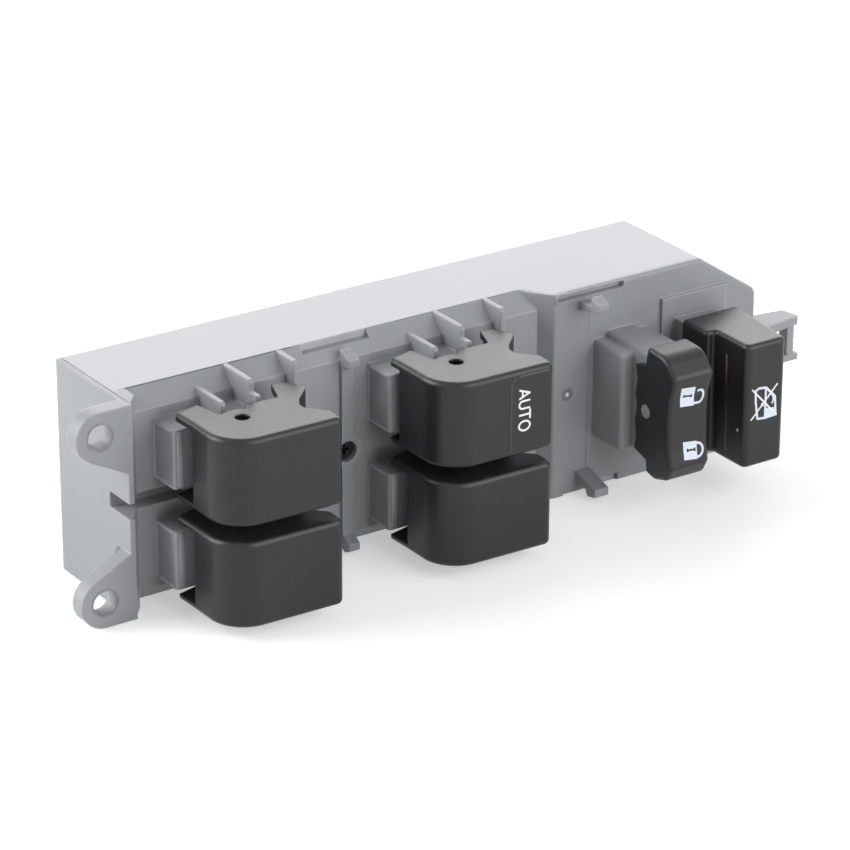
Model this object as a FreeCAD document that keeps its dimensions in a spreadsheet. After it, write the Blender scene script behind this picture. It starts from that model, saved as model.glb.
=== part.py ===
"""Power window switch: a two-part case with four window knobs, a door lock rocker and a window lock button.

The row origin is midway between the two ear screw holes, on the ears' front (seating) face.
+X runs along the case, +Y goes from the knobs to the back cover, +Z is up the 50 mm side.
All lengths are in millimetres and angles in degrees.
"""
import FreeCAD, Part
import Sketcher
import math
import os
import re

os.makedirs("parts", exist_ok=True)
doc = FreeCAD.newDocument("WindowSwitch")
Vector = FreeCAD.Vector

# Driving dimensions: name, value, what it is
SIZES = [
    ("ear_hole_spacing", 38.6, "between the two ear screw holes"),
    ("ear_hole_dia", 5.8, "ear screw hole"),
    ("ear_radius", 5.7, "round end of an ear"),
    ("ear_depth", 4.1, "thickness of an ear along Y"),
    ("ear_slope", 28.0, "slope of an ear's inner edge, degrees"),
    ("ear_offset", 7.8, "ear hole axis to the cover's left end"),
    ("case_height", 50.0, "case along Z"),
    ("end_plate_wall", 1.2, "left end plate"),
    ("cover_length", 150.6, "rear cover along X"),
    ("cover_back_y", 30.6, "outer back face of the cover"),
    ("cover_wall", 1.8, "cover walls"),
    ("seam_y", 8.5, "joint between case and cover at the low panel"),
    ("low_panel_y", 4.3, "front face of the low panel under the window knobs"),
    ("high_panel_y", 1.0, "front face of the high panel under the rocker and button"),
    ("high_seam_y", 2.2, "joint between case and cover at the high panel"),
    ("panel_wall", 2.2, "front panels"),
    ("low_bevel", 4.0, "height of the bevels along the low panel"),
    ("post_width", 3.0, "front corner post, from the cover's end to the panel"),
    ("step_start_x", 112.2, "slanted step, where it leaves the seam"),
    ("step_low_x", 114.8, "slanted step, at the low panel"),
    ("step_high_x", 117.6, "slanted step, at the high panel"),
    ("case_end_x", 174.7, "right end of the case"),
    ("corner_cut", 11.0, "drop of the cut top right corner"),
    ("skirt_depth", 8.0, "skirt behind the overhanging right end"),
    ("notch_low_z", -1.45, "low side of the groove in the left end"),
    ("notch_high_z", 2.2, "high side of the groove in the left end"),
    ("notch_depth", 4.25, "depth of the groove"),
    ("notch_reach", 17.0, "length of the groove along X"),
    ("knob_pivot_x", 27.5, "pivot axis of the rear window knobs"),
    ("knob_pitch_x", 54.3, "rear knobs to front knobs"),
    ("knob_pivot_y", -12.0, "pivot axis of the window knobs"),
    ("knob_row_z", 11.8, "middle of a knob row above or below the centre"),
    ("knob_height", 20.1, "window knob along Z"),
    ("knob_cheek", 1.6, "window knob cheek"),
    ("knob_wall", 1.8, "window knob front wall"),
    ("knob_front", 11.6, "pivot axis to the front face"),
    ("knob_left", 10.7, "pivot axis to the left face"),
    ("knob_tip", 17.75, "pivot axis to the pull tip"),
    ("knob_corner_radius", 8.6, "round front left corner of a knob"),
    ("knob_edge_radius", 1.2, "rounded front edges of a window knob"),
    ("key_edge_radius", 1.1, "rounded edges of the lock rocker and the button"),
    ("tower_height", 13.5, "tower that carries a knob, along Z"),
    ("tower_left", 12.3, "pivot axis to the tower's left face"),
    ("tower_right", 12.8, "pivot axis to the tower's right face"),
    ("tower_round", 0.7, "round front left edge of a tower"),
    ("tower_front", 7.8, "pivot axis back to the tower's shoulder"),
    ("core_half", 5.2, "half width of the tower's bearing block"),
    ("core_nose", 3.6, "pivot axis to the nose of the bearing block"),
    ("boss_dia", 5.2, "hollow pivot boss on a knob's cheek"),
    ("boss_bore_dia", 3.3, "hole through the pivot boss"),
    ("boss_depth", 2.0, "how far a pivot boss enters its bearing"),
    ("bearing_gap", 0.05, "radial clearance of a pivot in its bearing"),
    ("plunger_dia", 3.0, "detent plunger"),
    ("plunger_gap", 0.05, "radial clearance of a plunger in its bore"),
    ("cam_radius", 7.0, "detent cam face in a window knob, about its pivot"),
    ("cam_gap", 0.3, "plunger tip to cam face at rest"),
    ("plunger_tail", 1.0, "pivot axis back to the plunger's tail"),
    ("plunger_bore_end", 8.5, "pivot axis back to the bore's floor"),
    ("spring_wire", 0.35, "detent and return spring wire"),
    ("spring_turns", 7.0, "turns of a detent spring"),
    ("leg_x", 8.2, "pivot axis to the middle of the switch leg"),
    ("leg_thick", 2.0, "switch leg along its travel"),
    ("leg_width", 4.4, "switch leg across its travel"),
    ("leg_end", 22.8, "pivot axis back to the end of a switch leg"),
    ("leg_swing", 3.6, "room for the leg on each side of its middle"),
    ("slider_front_y", 7.1, "front face of the contact sliders"),
    ("slider_depth", 6.8, "contact slider along Y"),
    ("slider_length", 10.0, "contact slider along its travel"),
    ("slider_width", 10.0, "contact slider across its travel"),
    ("fork_gap", 2.8, "slot of a slider that holds a leg"),
    ("fork_depth", 5.2, "depth of that slot"),
    ("rail_gap", 0.2, "slider to its rails"),
    ("rail_wall", 1.5, "slider rails"),
    ("plate_sheet", 0.3, "contact plate sheet"),
    ("plate_depth", 1.5, "contact plate, from slider to its feet"),
    ("board_y", 15.7, "front face of the circuit board"),
    ("board_thick", 1.6, "circuit board"),
    ("board_margin", 1.0, "circuit board to the cover's walls"),
    ("rocker_x", 135.9, "middle of the lock rocker"),
    ("rocker_pivot_y", -16.3, "pivot axis of the lock rocker"),
    ("rocker_width", 11.2, "lock rocker along X"),
    ("rocker_cheek", 1.2, "lock rocker cheek"),
    ("rocker_top", 15.2, "pivot axis to the rocker's back top corner"),
    ("rocker_brow", 10.6, "pivot axis to the rocker's front edge"),
    ("rocker_wall", 1.6, "lock rocker front wall"),
    ("rocker_pin_dia", 3.3, "pivot pin of the lock rocker"),
    ("rocker_core_gap", 0.2, "lock core to the rocker's cheeks"),
    ("rocker_cam_radius", 5.5, "detent cam face in the rocker, about its pivot"),
    ("lock_tower_width", 15.4, "lock tower along X"),
    ("lock_tower_height", 24.0, "lock tower along Z"),
    ("lock_tower_front", 6.1, "rocker pivot back to the lock tower's shoulder"),
    ("lock_core_height", 26.6, "lock core along Z"),
    ("lock_leg_z", -9.0, "middle of the rocker's switch leg"),
    ("button_x", 157.0, "middle of the button's front part"),
    ("button_z", -1.0, "height of the button's middle"),
    ("button_front_y", -25.7, "front face of the window lock button"),
    ("button_width", 11.2, "front part of the button along X"),
    ("button_height", 30.1, "button along Z"),
    ("button_length", 20.7, "button along Y"),
    ("button_step", 2.4, "step on the button's left side"),
    ("button_head", 11.9, "front face to the step"),
    ("button_taper", 2.3, "how far the right side spreads towards the back"),
    ("button_wall", 1.4, "button walls"),
    ("button_travel", 3.0, "button travel"),
    ("guide_gap", 0.25, "button to its guide tower"),
    ("stem_x", 152.7, "middle of the button's stem and of the latching switch"),
    ("stem_side", 2.8, "square stem of the button"),
    ("stem_gap", 0.1, "stem to its guide hole"),
    ("lockout_side", 5.6, "latching switch body"),
    ("lockout_depth", 7.6, "latching switch body along Y"),
    ("lockout_reach", 3.3, "how far its plunger stands out"),
    ("lockout_tail", 1.4, "its plunger inside the body at rest"),
    ("lockout_pin_dia", 3.6, "plunger of the latching switch"),
    ("rib_wall", 1.1, "thin ribs above the upper knobs"),
    ("pillar_width", 2.8, "screw pillar between the knob columns"),
    ("pillar_x", 63.6, "middle of the screw pillar"),
    ("pillar_proud", 0.9, "pillar height on the low panel"),
    ("screw_z", -0.8, "height of the case screw"),
    ("screw_well_dia", 4.9, "well of the case screw"),
    ("screw_ring_dia", 8.0, "ring round the screw well"),
    ("screw_head_dia", 4.6, "case screw head"),
    ("screw_head_depth", 2.2, "case screw head height"),
    ("screw_shank_dia", 2.8, "case and board screw shank"),
    ("screw_gap", 0.05, "screw to its hole"),
    ("well_depth", 2.7, "face of the low panel to the floor of the screw well"),
    ("clip_width", 2.8, "bezel clips along X"),
    ("loop_reach", 11.6, "fixing loop beyond the case's right end"),
    ("loop_wall", 2.0, "fixing loop bars"),
    ("loop_top_z", 5.4, "top of the fixing loop"),
    ("loop_low_z", -5.8, "bottom of the fixing loop"),
    ("socket_x", 90.0, "middle of the connector"),
    ("socket_length", 38.0, "connector housing along X"),
    ("socket_height", 17.0, "connector housing along Z"),
    ("socket_wall", 1.5, "connector housing walls"),
    ("socket_gap", 0.2, "connector housing to the cover's cut-out"),
    ("pin_side", 0.8, "square connector pin"),
    ("pin_pitch", 4.0, "between connector pins along X"),
    ("pin_row_gap", 6.0, "between the two pin rows"),
    ("pin_length", 7.0, "pin inside the connector"),
    ("relay_length", 15.0, "relay along X"),
    ("relay_width", 12.0, "relay along Z"),
    ("relay_depth", 9.5, "relay along Y"),
    ("chip_side", 10.0, "control chip"),
    ("chip_depth", 1.8, "control chip thickness"),
]

sheet = doc.addObject("Spreadsheet::Sheet", "Sizes")
for row, (alias, size, note) in enumerate(SIZES, start=1):
    sheet.set(f"A{row}", alias)
    sheet.set(f"B{row}", str(size))
    sheet.set(f"C{row}", note)
    sheet.setAlias(f"B{row}", alias)
doc.recompute()

NAMES = {alias for alias, size, note in SIZES}
TURN = {"X": FreeCAD.Rotation(Vector(0, 1, 0), 90), "Y": FreeCAD.Rotation(Vector(1, 0, 0), -90),
        "Z": FreeCAD.Rotation()}
PLANES = {"XY": ("XY_Plane", "Z"), "XZ": ("XZ_Plane", "Y"), "YZ": ("YZ_Plane", "X")}
nodes = []


def linked(formula):
    """A formula on the sheet's names, written for the expression engine."""
    return re.sub(r"[a-z][a-z_]+", lambda word: f"Sizes.{word[0]}" if word[0] in NAMES else word[0],
                  str(formula))


def bind(thing, prop, formula):
    thing.setExpression(prop, linked(formula))


def place(thing, x=0, y=0, z=0):
    """Puts an object at a place given by three formulas."""
    bind(thing, "Placement.Base.x", x)
    bind(thing, "Placement.Base.y", y)
    bind(thing, "Placement.Base.z", z)
    return thing


def block(name, x, y, z, length, width, height):
    box = doc.addObject("Part::Box", name)
    bind(box, "Length", length)
    bind(box, "Width", width)
    bind(box, "Height", height)
    return place(box, x, y, z)


def rod(name, axis, x, y, z, diameter, length):
    """A cylinder that starts at a point and runs along a row axis."""
    bar = doc.addObject("Part::Cylinder", name)
    bar.Placement = FreeCAD.Placement(Vector(), TURN[axis])
    bind(bar, "Radius", f"({diameter}) / 2")
    bind(bar, "Height", length)
    return place(bar, x, y, z)


def ball(name, x, y, z, diameter):
    sphere = doc.addObject("Part::Sphere", name)
    bind(sphere, "Radius", f"({diameter}) / 2")
    return place(sphere, x, y, z)


def edges_at(shape, direction, points):
    """Names of the straight edges that run along a direction through one of the points."""
    found = []
    for number, edge in enumerate(shape.Edges, start=1):
        if edge.Curve.TypeId != "Part::GeomLine":
            continue
        start, end = edge.Vertexes[0].Point, edge.Vertexes[-1].Point
        run = (end - start).normalize()
        if abs(abs(run.dot(direction)) - 1) > 1e-6:
            continue
        if any((start - point).cross(direction).Length < 1e-4 for point in points):
            found.append(f"Edge{number}")
    return found


def cap_edges(shape, axis, high):
    """Names of the edges that lie in the highest or lowest plane of a shape along an axis."""
    level = getattr(shape.BoundBox, axis + ("Max" if high else "Min"))
    found = []
    for number, edge in enumerate(shape.Edges, start=1):
        ends = getattr(edge.BoundBox, axis + "Min"), getattr(edge.BoundBox, axis + "Max")
        if all(abs(end - level) < 1e-4 for end in ends):
            found.append(f"Edge{number}")
    return found


def prism(name, plane, points, start, length, rounds=(), soft_low=None, soft_high=None):
    """A body padded from a sketched outline: points are pairs of formulas, rounds of corner and radius."""
    role, axis = PLANES[plane]
    body = doc.addObject("PartDesign::Body", name)
    sketch = body.newObject("Sketcher::SketchObject", name + "_outline")
    origin_plane = next(item for item in body.Origin.OriginFeatures if item.Role == role)
    sketch.AttachmentSupport = (origin_plane, "")
    sketch.MapMode = "FlatFace"
    flip = -1 if axis == "Y" else 1
    sketch.setExpression("AttachmentOffset.Base.z", f"{flip} * ({linked(start)})")
    count = len(points)
    guess = [Vector(10 * math.cos(2 * math.pi * k / count), 10 * math.sin(2 * math.pi * k / count), 0)
             for k in range(count)]
    for k in range(count):
        sketch.addGeometry(Part.LineSegment(guess[k], guess[(k + 1) % count]), False)
    return finish_prism(body, sketch, axis, points, length, rounds, soft_low, soft_high)


def finish_prism(body, sketch, axis, points, length, rounds, soft_low, soft_high):
    count = len(points)
    for k in range(count):
        sketch.addConstraint(Sketcher.Constraint("Coincident", k, 2, (k + 1) % count, 1))
    for k, pair in enumerate(points):
        for kind, formula in zip(("DistanceX", "DistanceY"), pair):
            number = sketch.addConstraint(Sketcher.Constraint(kind, -1, 1, k, 1, 1.0))
            sketch.setExpression(f"Constraints[{number}]", linked(formula))
    pad = body.newObject("PartDesign::Pad", body.Name + "_pad")
    pad.Profile = sketch
    bind(pad, "Length", length)
    pad.Reversed = axis == "Y"
    doc.recompute()
    direction = {"X": Vector(1, 0, 0), "Y": Vector(0, 1, 0), "Z": Vector(0, 0, 1)}[axis]
    tip = pad
    frame = sketch.Placement
    for corner, radius in rounds:
        corners = corner if isinstance(corner, tuple) else (corner,)
        spots = [frame.multVec(sketch.Geometry[k].StartPoint) for k in corners]
        tip = rounded(body, tip, edges_at(tip.Shape, direction, spots), radius)
    if soft_low:
        tip = rounded(body, tip, cap_edges(tip.Shape, axis, False), soft_low)
    if soft_high:
        tip = rounded(body, tip, cap_edges(tip.Shape, axis, True), soft_high)
    return body


def rounded(body, tip, names, radius):
    fillet = body.newObject("PartDesign::Fillet", body.Name + "_round")
    fillet.Base = (tip, names)
    bind(fillet, "Radius", radius)
    doc.recompute()
    return fillet


def fuse(name, shapes):
    join = doc.addObject("Part::MultiFuse", name)
    join.Shapes = shapes
    join.Refine = True
    return join


def cut(name, base, tools):
    """The base less its tools."""
    result = doc.addObject("Part::Cut", name)
    result.Base = base
    result.Tool = tools[0] if len(tools) == 1 else fuse(name + "_tools", tools)
    result.Refine = True
    return result


def node(thing, label):
    """Names a finished sub-part and lists it for export."""
    thing.Label = label
    nodes.append(thing)
    return thing


# Places that several pieces share
HALF = "case_height / 2"
COVER_X = "ear_offset"
PANEL_BACK = "(low_panel_y + panel_wall)"
HIGH_BACK = "(high_panel_y + panel_wall)"
BOARD_BACK = "(board_y + board_thick)"
COVER_INSIDE = "(cover_back_y - cover_wall)"
COVER_END = "(ear_offset + cover_length)"
CHEEK_IN = "(knob_height / 2 - knob_cheek)"
COLUMNS = {"rear": "knob_pivot_x", "front": "(knob_pivot_x + knob_pitch_x)"}
ROWS = {"driver": "knob_row_z", "passenger": "(-knob_row_z)"}


def knob_places():
    """Name, x and z of the four window knobs: two columns by two rows."""
    for column, x in COLUMNS.items():
        for side, z in ROWS.items():
            yield f"{column}_{side}", x, z


# Front case
def ears():
    """Two screw ears with round ends; their inner edges slope back to the corner post."""
    solids, holes = [], []
    for side, name in ((1, "upper_ear"), (-1, "lower_ear")):
        mid = f"{side} * ear_hole_spacing / 2"
        run = "(ear_offset - end_plate_wall)"
        tangent_x = "(-ear_radius * sin(ear_slope * 1 deg))"
        tangent_z = f"({mid} - {side} * ear_radius * cos(ear_slope * 1 deg))"
        inner_z = f"({tangent_z} - {side} * ({run} - {tangent_x}) * tan(ear_slope * 1 deg))"
        outline = [("0", f"{side} * {HALF}"), (run, f"{side} * {HALF}"), (run, inner_z),
                   (tangent_x, tangent_z),
                   ("0", mid)]
        solids.append(prism(name, "XZ", outline, "0", "ear_depth"))
        solids.append(rod(name + "_end", "Y", "0", "0", mid, "2 * ear_radius", "ear_depth"))
        holes.append(rod(name + "_hole", "Y", "0", "-1", mid, "ear_hole_dia", "ear_depth + 2"))
    return solids, holes


def shell_walls():
    """Left end plate, corner post, low panel with its bevels, slanted step, high panel and its skirt."""
    left = f"({COVER_X} - end_plate_wall)"
    post = f"({COVER_X} + post_width)"
    solids = [
        block("end_plate", left, "0", f"-{HALF}", "end_plate_wall", "cover_back_y", "case_height"),
        prism("corner_post", "XY", [(left, "seam_y"), (left, "0"), (f"{left} + 0.5", "0"),
                                    (post, "low_panel_y"), (post, "seam_y")], f"-{HALF}", "case_height"),
    ]
    rim = f"({HALF} - cover_wall - 1)"
    knee = f"({HALF} - low_bevel)"
    low_panel = [("seam_y", HALF), ("low_panel_y", knee), ("low_panel_y", f"-{knee}"),
                 ("seam_y", f"-{HALF}"),
                 ("seam_y", f"-{rim}"), (PANEL_BACK, f"-({knee} - 0.6)"), (PANEL_BACK, f"{knee} - 0.6"),
                 ("seam_y", rim)]
    solids.append(prism("low_panel", "YZ", low_panel, COVER_X, f"step_low_x - {COVER_X}"))
    step = [("step_start_x", "seam_y"), ("step_low_x", "low_panel_y"), ("step_high_x", "high_panel_y"),
            ("step_high_x + 3", "high_panel_y"), ("step_high_x + 3", "high_seam_y"),
            ("step_high_x - 0.4", "high_seam_y"), ("step_start_x + 0.8", "seam_y")]
    solids.append(prism("step_skin", "XY", step, f"-{HALF}", "case_height", rounds=[(2, "1.2")]))
    brace = [("step_start_x - 2", PANEL_BACK), ("step_start_x - 2", "low_panel_y"),
             ("step_low_x", "low_panel_y"),
             ("step_high_x", "high_panel_y"), ("step_high_x + 3", "high_panel_y"),
             ("step_high_x + 3", HIGH_BACK),
             ("step_high_x + 1", HIGH_BACK), ("step_low_x + 1.2", PANEL_BACK)]
    inner_half = f"({HALF} - low_bevel - 0.6)"
    solids.append(prism("step_brace", "XY", brace, f"-{inner_half}", f"2 * {inner_half}",
                        rounds=[(3, "1.2")]))
    high_panel = [("step_high_x + 2", f"-{HALF}"), ("step_high_x + 2", HALF), (COVER_END, HALF),
                  ("case_end_x", f"{HALF} - corner_cut"), ("case_end_x", f"-{HALF}")]
    solids.append(prism("high_panel", "XZ", high_panel, "high_panel_y", "high_seam_y - high_panel_y",
                        rounds=[(3, "2.5")], soft_low="0.8"))
    inner = f"({HALF} - cover_wall - socket_gap)"
    backing = [("step_high_x", f"-{inner}"), ("step_high_x", inner),
               (f"{COVER_END} - cover_wall - socket_gap", inner),
               (f"{COVER_END} - cover_wall - socket_gap", f"-{inner}")]
    solids.append(prism("panel_backing", "XZ", backing, "high_seam_y", f"{HIGH_BACK} - high_seam_y"))
    skirt = [(COVER_END, f"-{HALF}"), (COVER_END, HALF), ("case_end_x", f"{HALF} - corner_cut"),
             ("case_end_x", f"-{HALF}")]
    solids.append(prism("skirt", "XZ", skirt, "high_seam_y", "skirt_depth", rounds=[(2, "2.5")]))
    hollow = [(f"{COVER_END} - 1", f"-({HALF} - cover_wall)"),
              (f"{COVER_END} - 1", f"{HALF} - 2 * cover_wall"),
              (f"{COVER_END} + 1", f"{HALF} - 2 * cover_wall"),
              ("case_end_x - cover_wall", f"{HALF} - corner_cut - cover_wall / 2"),
              ("case_end_x - cover_wall", f"-({HALF} - cover_wall)")]
    return solids, [prism("skirt_hollow", "XZ", hollow, HIGH_BACK, "skirt_depth + 1")]


def left_groove():
    """The groove across the left end, with a pocket wall behind it."""
    left = f"({COVER_X} - end_plate_wall)"
    rise = "(notch_high_z - notch_low_z)"
    pocket = block("groove_pocket", left, "low_panel_y", "notch_low_z - rail_wall",
                   "notch_reach + rail_wall",
                   "notch_depth + rail_wall", f"{rise} + 2 * rail_wall")
    groove = block("groove", f"{left} - 1", "low_panel_y - 10", "notch_low_z", "notch_reach + 1",
                   "notch_depth + 10", rise)
    return [pocket], [groove]


def window_tower(name, x, z):
    """A shoulder and a bearing block that stand on the low panel under one window knob."""
    half = "tower_height / 2"
    panel = "(low_panel_y - knob_pivot_y)"
    shoulder = prism(f"{name}_shoulder", "XY", [("-tower_left", panel), ("-tower_left", "tower_front"),
                                                ("tower_right", "tower_front"), ("tower_right", panel)],
                     f"-{half}", "tower_height", rounds=[(1, "tower_round"), (2, "0.8")])
    core = prism(f"{name}_core", "XY", [("-core_half", "tower_front + 1"), ("-core_half", "-core_nose"),
                                        ("core_half - 0.6", "-core_nose"),
                                        ("core_half - 0.6", "tower_front + 1")],
                 f"-{half}", "tower_height", rounds=[((1, 2), "1.6")])
    rail_y = f"({PANEL_BACK} - knob_pivot_y - 0.2)"
    rails = []
    for side in (-1, 1):
        inner = "(slider_width / 2 + rail_gap)"
        rails.append(block(f"{name}_rail{side + 1}", "leg_x - 9", rail_y,
                           f"{side} * ({inner} + rail_wall / 2) - rail_wall / 2", "18",
                           "slider_front_y + slider_depth - 1 - low_panel_y - panel_wall + 0.2",
                           "rail_wall"))
    solid = place(fuse(f"{name}_tower", [shoulder, core] + rails), x, "knob_pivot_y", z)
    bearing = "(boss_dia + 2 * bearing_gap)"
    depth = "(boss_depth + 0.2)"
    cuts = [rod(f"{name}_bearing_high", "Z", "0", "0", f"{half} - {depth}", bearing, f"{depth} + 1"),
            rod(f"{name}_bearing_low", "Z", "0", "0", f"-{half} - 1", bearing, f"{depth} + 1"),
            rod(f"{name}_plunger_bore", "Y", "0", "-core_nose - 1", "0", "plunger_dia + 2 * plunger_gap",
                "plunger_bore_end + core_nose + 1"),
            block(f"{name}_leg_slot", "leg_x - leg_swing", "tower_front - 1", "-leg_width / 2 - 0.5",
                  "2 * leg_swing",
                  f"{panel} + panel_wall - tower_front + 2", "leg_width + 1")]
    hollow = place(fuse(f"{name}_tower_cuts", cuts), x, "knob_pivot_y", z)
    return [solid], [hollow]


def lock_tower():
    """Shoulder, core and nose under the lock rocker, with the two pivot pins."""
    half = "lock_tower_height / 2"
    panel = "(high_panel_y - rocker_pivot_y)"
    core_x = "(rocker_width / 2 - rocker_cheek - rocker_core_gap)"
    core_z = "(lock_core_height / 2)"
    shoulder = prism("lock_shoulder", "XZ",
                     [("-lock_tower_width / 2", f"-{half}"), ("lock_tower_width / 2", f"-{half}"),
                      ("lock_tower_width / 2", half), ("-lock_tower_width / 2", half)],
                     "lock_tower_front", f"{panel} - lock_tower_front", rounds=[((0, 1, 2, 3), "1")],
                     soft_low="1.2")
    core_foot = f"({core_z} - 2.1)"
    core = prism("lock_core", "XZ",
                 [(f"-{core_x}", f"-{core_foot}"), (core_x, f"-{core_foot}"), (core_x, core_z),
                  (f"-{core_x}", core_z)],
                 "1.8", f"{panel} - 1.8", rounds=[((2, 3), "1")])
    nose = block("lock_nose", f"-{core_x}", "-3", "-2.8", f"2 * {core_x}", "6", "5.6")
    pin = rod("lock_pins", "X", "-rocker_width / 2 + 0.1", "0", "0", "rocker_pin_dia", "rocker_width - 0.2")
    inner = "(slider_width / 2 + rail_gap)"
    rail_y = f"({HIGH_BACK} - rocker_pivot_y - 0.2)"
    rails = [block(f"lock_rail{side + 1}", f"{side} * ({inner} + rail_wall / 2) - rail_wall / 2", rail_y,
                   "lock_leg_z - 9", "rail_wall",
                   "slider_front_y + slider_depth - 1 - high_panel_y - panel_wall + 0.2",
                   "18") for side in (-1, 1)]
    solid = place(fuse("lock_tower", [shoulder, core, nose, pin] + rails), "rocker_x", "rocker_pivot_y", "0")
    bore = rod("lock_plunger_bore", "Y", "0", "-4", "0", "plunger_dia + 2 * plunger_gap",
               "plunger_bore_end + 4")
    slot = block("lock_leg_slot", "-leg_width / 2 - 0.5", "-4", "lock_leg_z - leg_swing", "leg_width + 1",
                 f"{panel} + panel_wall + 5", "2 * leg_swing")
    hollow = place(fuse("lock_tower_cuts", [bore, slot]), "rocker_x", "rocker_pivot_y", "0")
    return [solid], [hollow]


def button_guide():
    """Raised pad and hollow guide tower for the window lock button."""
    pad = block("button_pad", "button_x - button_width / 2 - button_step - 2", "high_panel_y - 0.8", "-17.8",
                "button_width + button_step + button_taper + 2.4", "1", "35.6")
    left = "(button_x - button_width / 2 - button_step + button_wall + guide_gap)"
    width = "(button_width + button_step - 2 * button_wall - 2 * guide_gap)"
    half = "(button_height / 2 - button_wall - guide_gap)"
    front = "(button_front_y + button_head + button_wall + button_travel + guide_gap)"
    low, high = f"(button_z - {half})", f"(button_z + {half})"
    tower = prism("button_tower", "XZ",
                  [(left, low), (f"{left} + {width}", low), (f"{left} + {width}", high),
                   (left, high)],
                  front, f"high_panel_y - {front}", soft_low="0.5")
    hole_side = "(stem_side + 2 * stem_gap)"
    hole = block("stem_hole", f"stem_x - {hole_side} / 2", f"{front} - 1", f"-{hole_side} / 2", hole_side,
                 f"{HIGH_BACK} - {front} + 2", hole_side)
    return [pad, tower], [hole]


def knob_ribs():
    """Thin ribs that stand on the bevel above the two upper knobs."""
    solids = []
    for column, x in COLUMNS.items():
        tower_top = "(knob_row_z + tower_height / 2)"
        first = [("seam_y - 2", f"{tower_top} - 0.5"), ("-4.9", f"{tower_top} - 0.5"), ("-4.9", "22.1"),
                 ("-4.3", "22.7"), ("seam_y - 2.4", "22.7")]
        second = [("seam_y", f"{tower_top} - 0.5"), ("-5.3", f"{tower_top} - 0.5"), ("-5.3", "22.4"),
                  ("-2.5", "22.4"),
                  ("-2.5", "24.4"), ("-1.9", HALF), ("seam_y", HALF)]
        third = [("seam_y", "18"), ("1.1", "18"), ("1.1", "24.4"), ("1.7", HALF), ("seam_y", HALF)]
        solids.append(prism(f"{column}_rib_a", "YZ", first, f"{x} - 0.4 - rib_wall / 2", "rib_wall"))
        solids.append(prism(f"{column}_rib_b", "YZ", second, f"{x} + 8.1 - rib_wall / 2", "rib_wall"))
        solids.append(prism(f"{column}_rib_c", "YZ", third, f"{x} + 21.5 - rib_wall / 2", "rib_wall"))
    return solids


def screw_pillar():
    """Full-height rib between the knob columns with the well of the case screw."""
    front = "(low_panel_y - pillar_proud)"
    knee = f"({HALF} - low_bevel)"
    pillar = block("pillar", "pillar_x - pillar_width / 2", front, f"-{knee}", "pillar_width",
                   f"pillar_proud + panel_wall", f"2 * {knee}")
    ring = rod("well_ring", "Y", "pillar_x", "low_panel_y - pillar_proud", "screw_z", "screw_ring_dia",
               "seam_y - low_panel_y + pillar_proud")
    well = rod("well", "Y", "pillar_x", f"{front} - 1", "screw_z", "screw_well_dia",
               "well_depth + pillar_proud + 1")
    shank = rod("well_hole", "Y", "pillar_x", front, "screw_z", "screw_shank_dia + 2 * screw_gap",
                "seam_y - low_panel_y + pillar_proud + 1")
    return [pillar, ring], [well, shank]


def bezel_clips():
    """Four snap clips that hold the trim bezel: two at the pillar and two on the high panel."""
    solids = []
    left = "pillar_x - clip_width / 2"
    high_x = "step_high_x + 6.2"
    upper_low = [("7.5", "19.4"), ("0.7", "20.2"), ("0.7", "22"), ("4.1", "23.6"), ("4.1", "21.6"),
                 ("7.5", "21.6")]
    lower_low = [("5.5", "-19.4"), ("0.7", "-22.2"), ("0.7", "-23.8"), ("2.6", "-24.6"), ("4.3", "-23.6"),
                 ("6.5", "-22.4")]
    upper_high = [("2.5", "19.9"), ("-6.7", "21.9"), ("-6.7", "23.7"), ("-4", "24.9"), ("-4", "22.8"),
                  ("2.5", "22.1")]
    lower_high = [("2.5", "-18.8"), ("-6.9", "-21.6"), ("-6.9", "-23.4"), ("-4", "-24"), ("-3.2", "-22.6"),
                  ("2.5", "-21.2")]
    solids.append(prism("clip_a", "YZ", upper_low, left, "clip_width"))
    solids.append(prism("clip_b", "YZ", lower_low, left, "clip_width"))
    solids.append(prism("clip_c", "YZ", upper_high, high_x, "clip_width"))
    solids.append(prism("clip_d", "YZ", lower_high, high_x, "clip_width + 1"))
    return solids


def fixing_loop():
    """Loop on the right end, open through Y, that slips over a hook in the door trim."""
    start = "case_end_x - 1"
    end = "case_end_x + loop_reach"
    top = [(start, "5.5"), (f"{end} - 1", "4"), (end, "-1"), (start, "-3")]
    solids = [prism("loop_top", "XY", top, "loop_top_z - loop_wall", "loop_wall", rounds=[((1, 2), "0.6")]),
              block("loop_web", f"{end} - loop_wall - 0.5", "0", "loop_low_z", "loop_wall", "3",
                    "loop_top_z - loop_low_z - 1"),
              block("loop_bottom", start, "-0.5", "loop_low_z", "loop_reach + 1.5", "4", "loop_wall * 0.8")]
    return solids


def panel_slots():
    """Notch at the upper bevel, long slot at the top of the high panel, and a small lower slot."""
    cuts = [block("bevel_slot", "pillar_x - 9.3", "low_panel_y - 1", f"{HALF} - 1.8", "17.3", "6", "3"),
            prism("top_slot", "XZ",
                  [("step_high_x + 0.3", f"{HALF} - 1.8"), ("step_high_x + 18.6", f"{HALF} - 1.8"),
                   ("step_high_x + 18.6", f"{HALF} - 0.5"), ("step_high_x + 0.3", f"{HALF} - 0.5")],
                  "high_panel_y - 1", "2.6", rounds=[((0, 1, 2, 3), "0.6")]),
            block("low_slot", "step_high_x + 13", "high_panel_y - 1", f"-{HALF} - 1", "5.5", "2.5", "3")]
    return cuts


def board_posts():
    """Screw posts behind the panels that carry the circuit board: x, z and where the post starts."""
    back = "(low_panel_y + 1)"
    high_back = "(high_panel_y + 1)"
    return [("18", "-18.6", back), ("18", "18.6", back), ("150", "-19", high_back), ("150", "19", high_back)]


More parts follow.
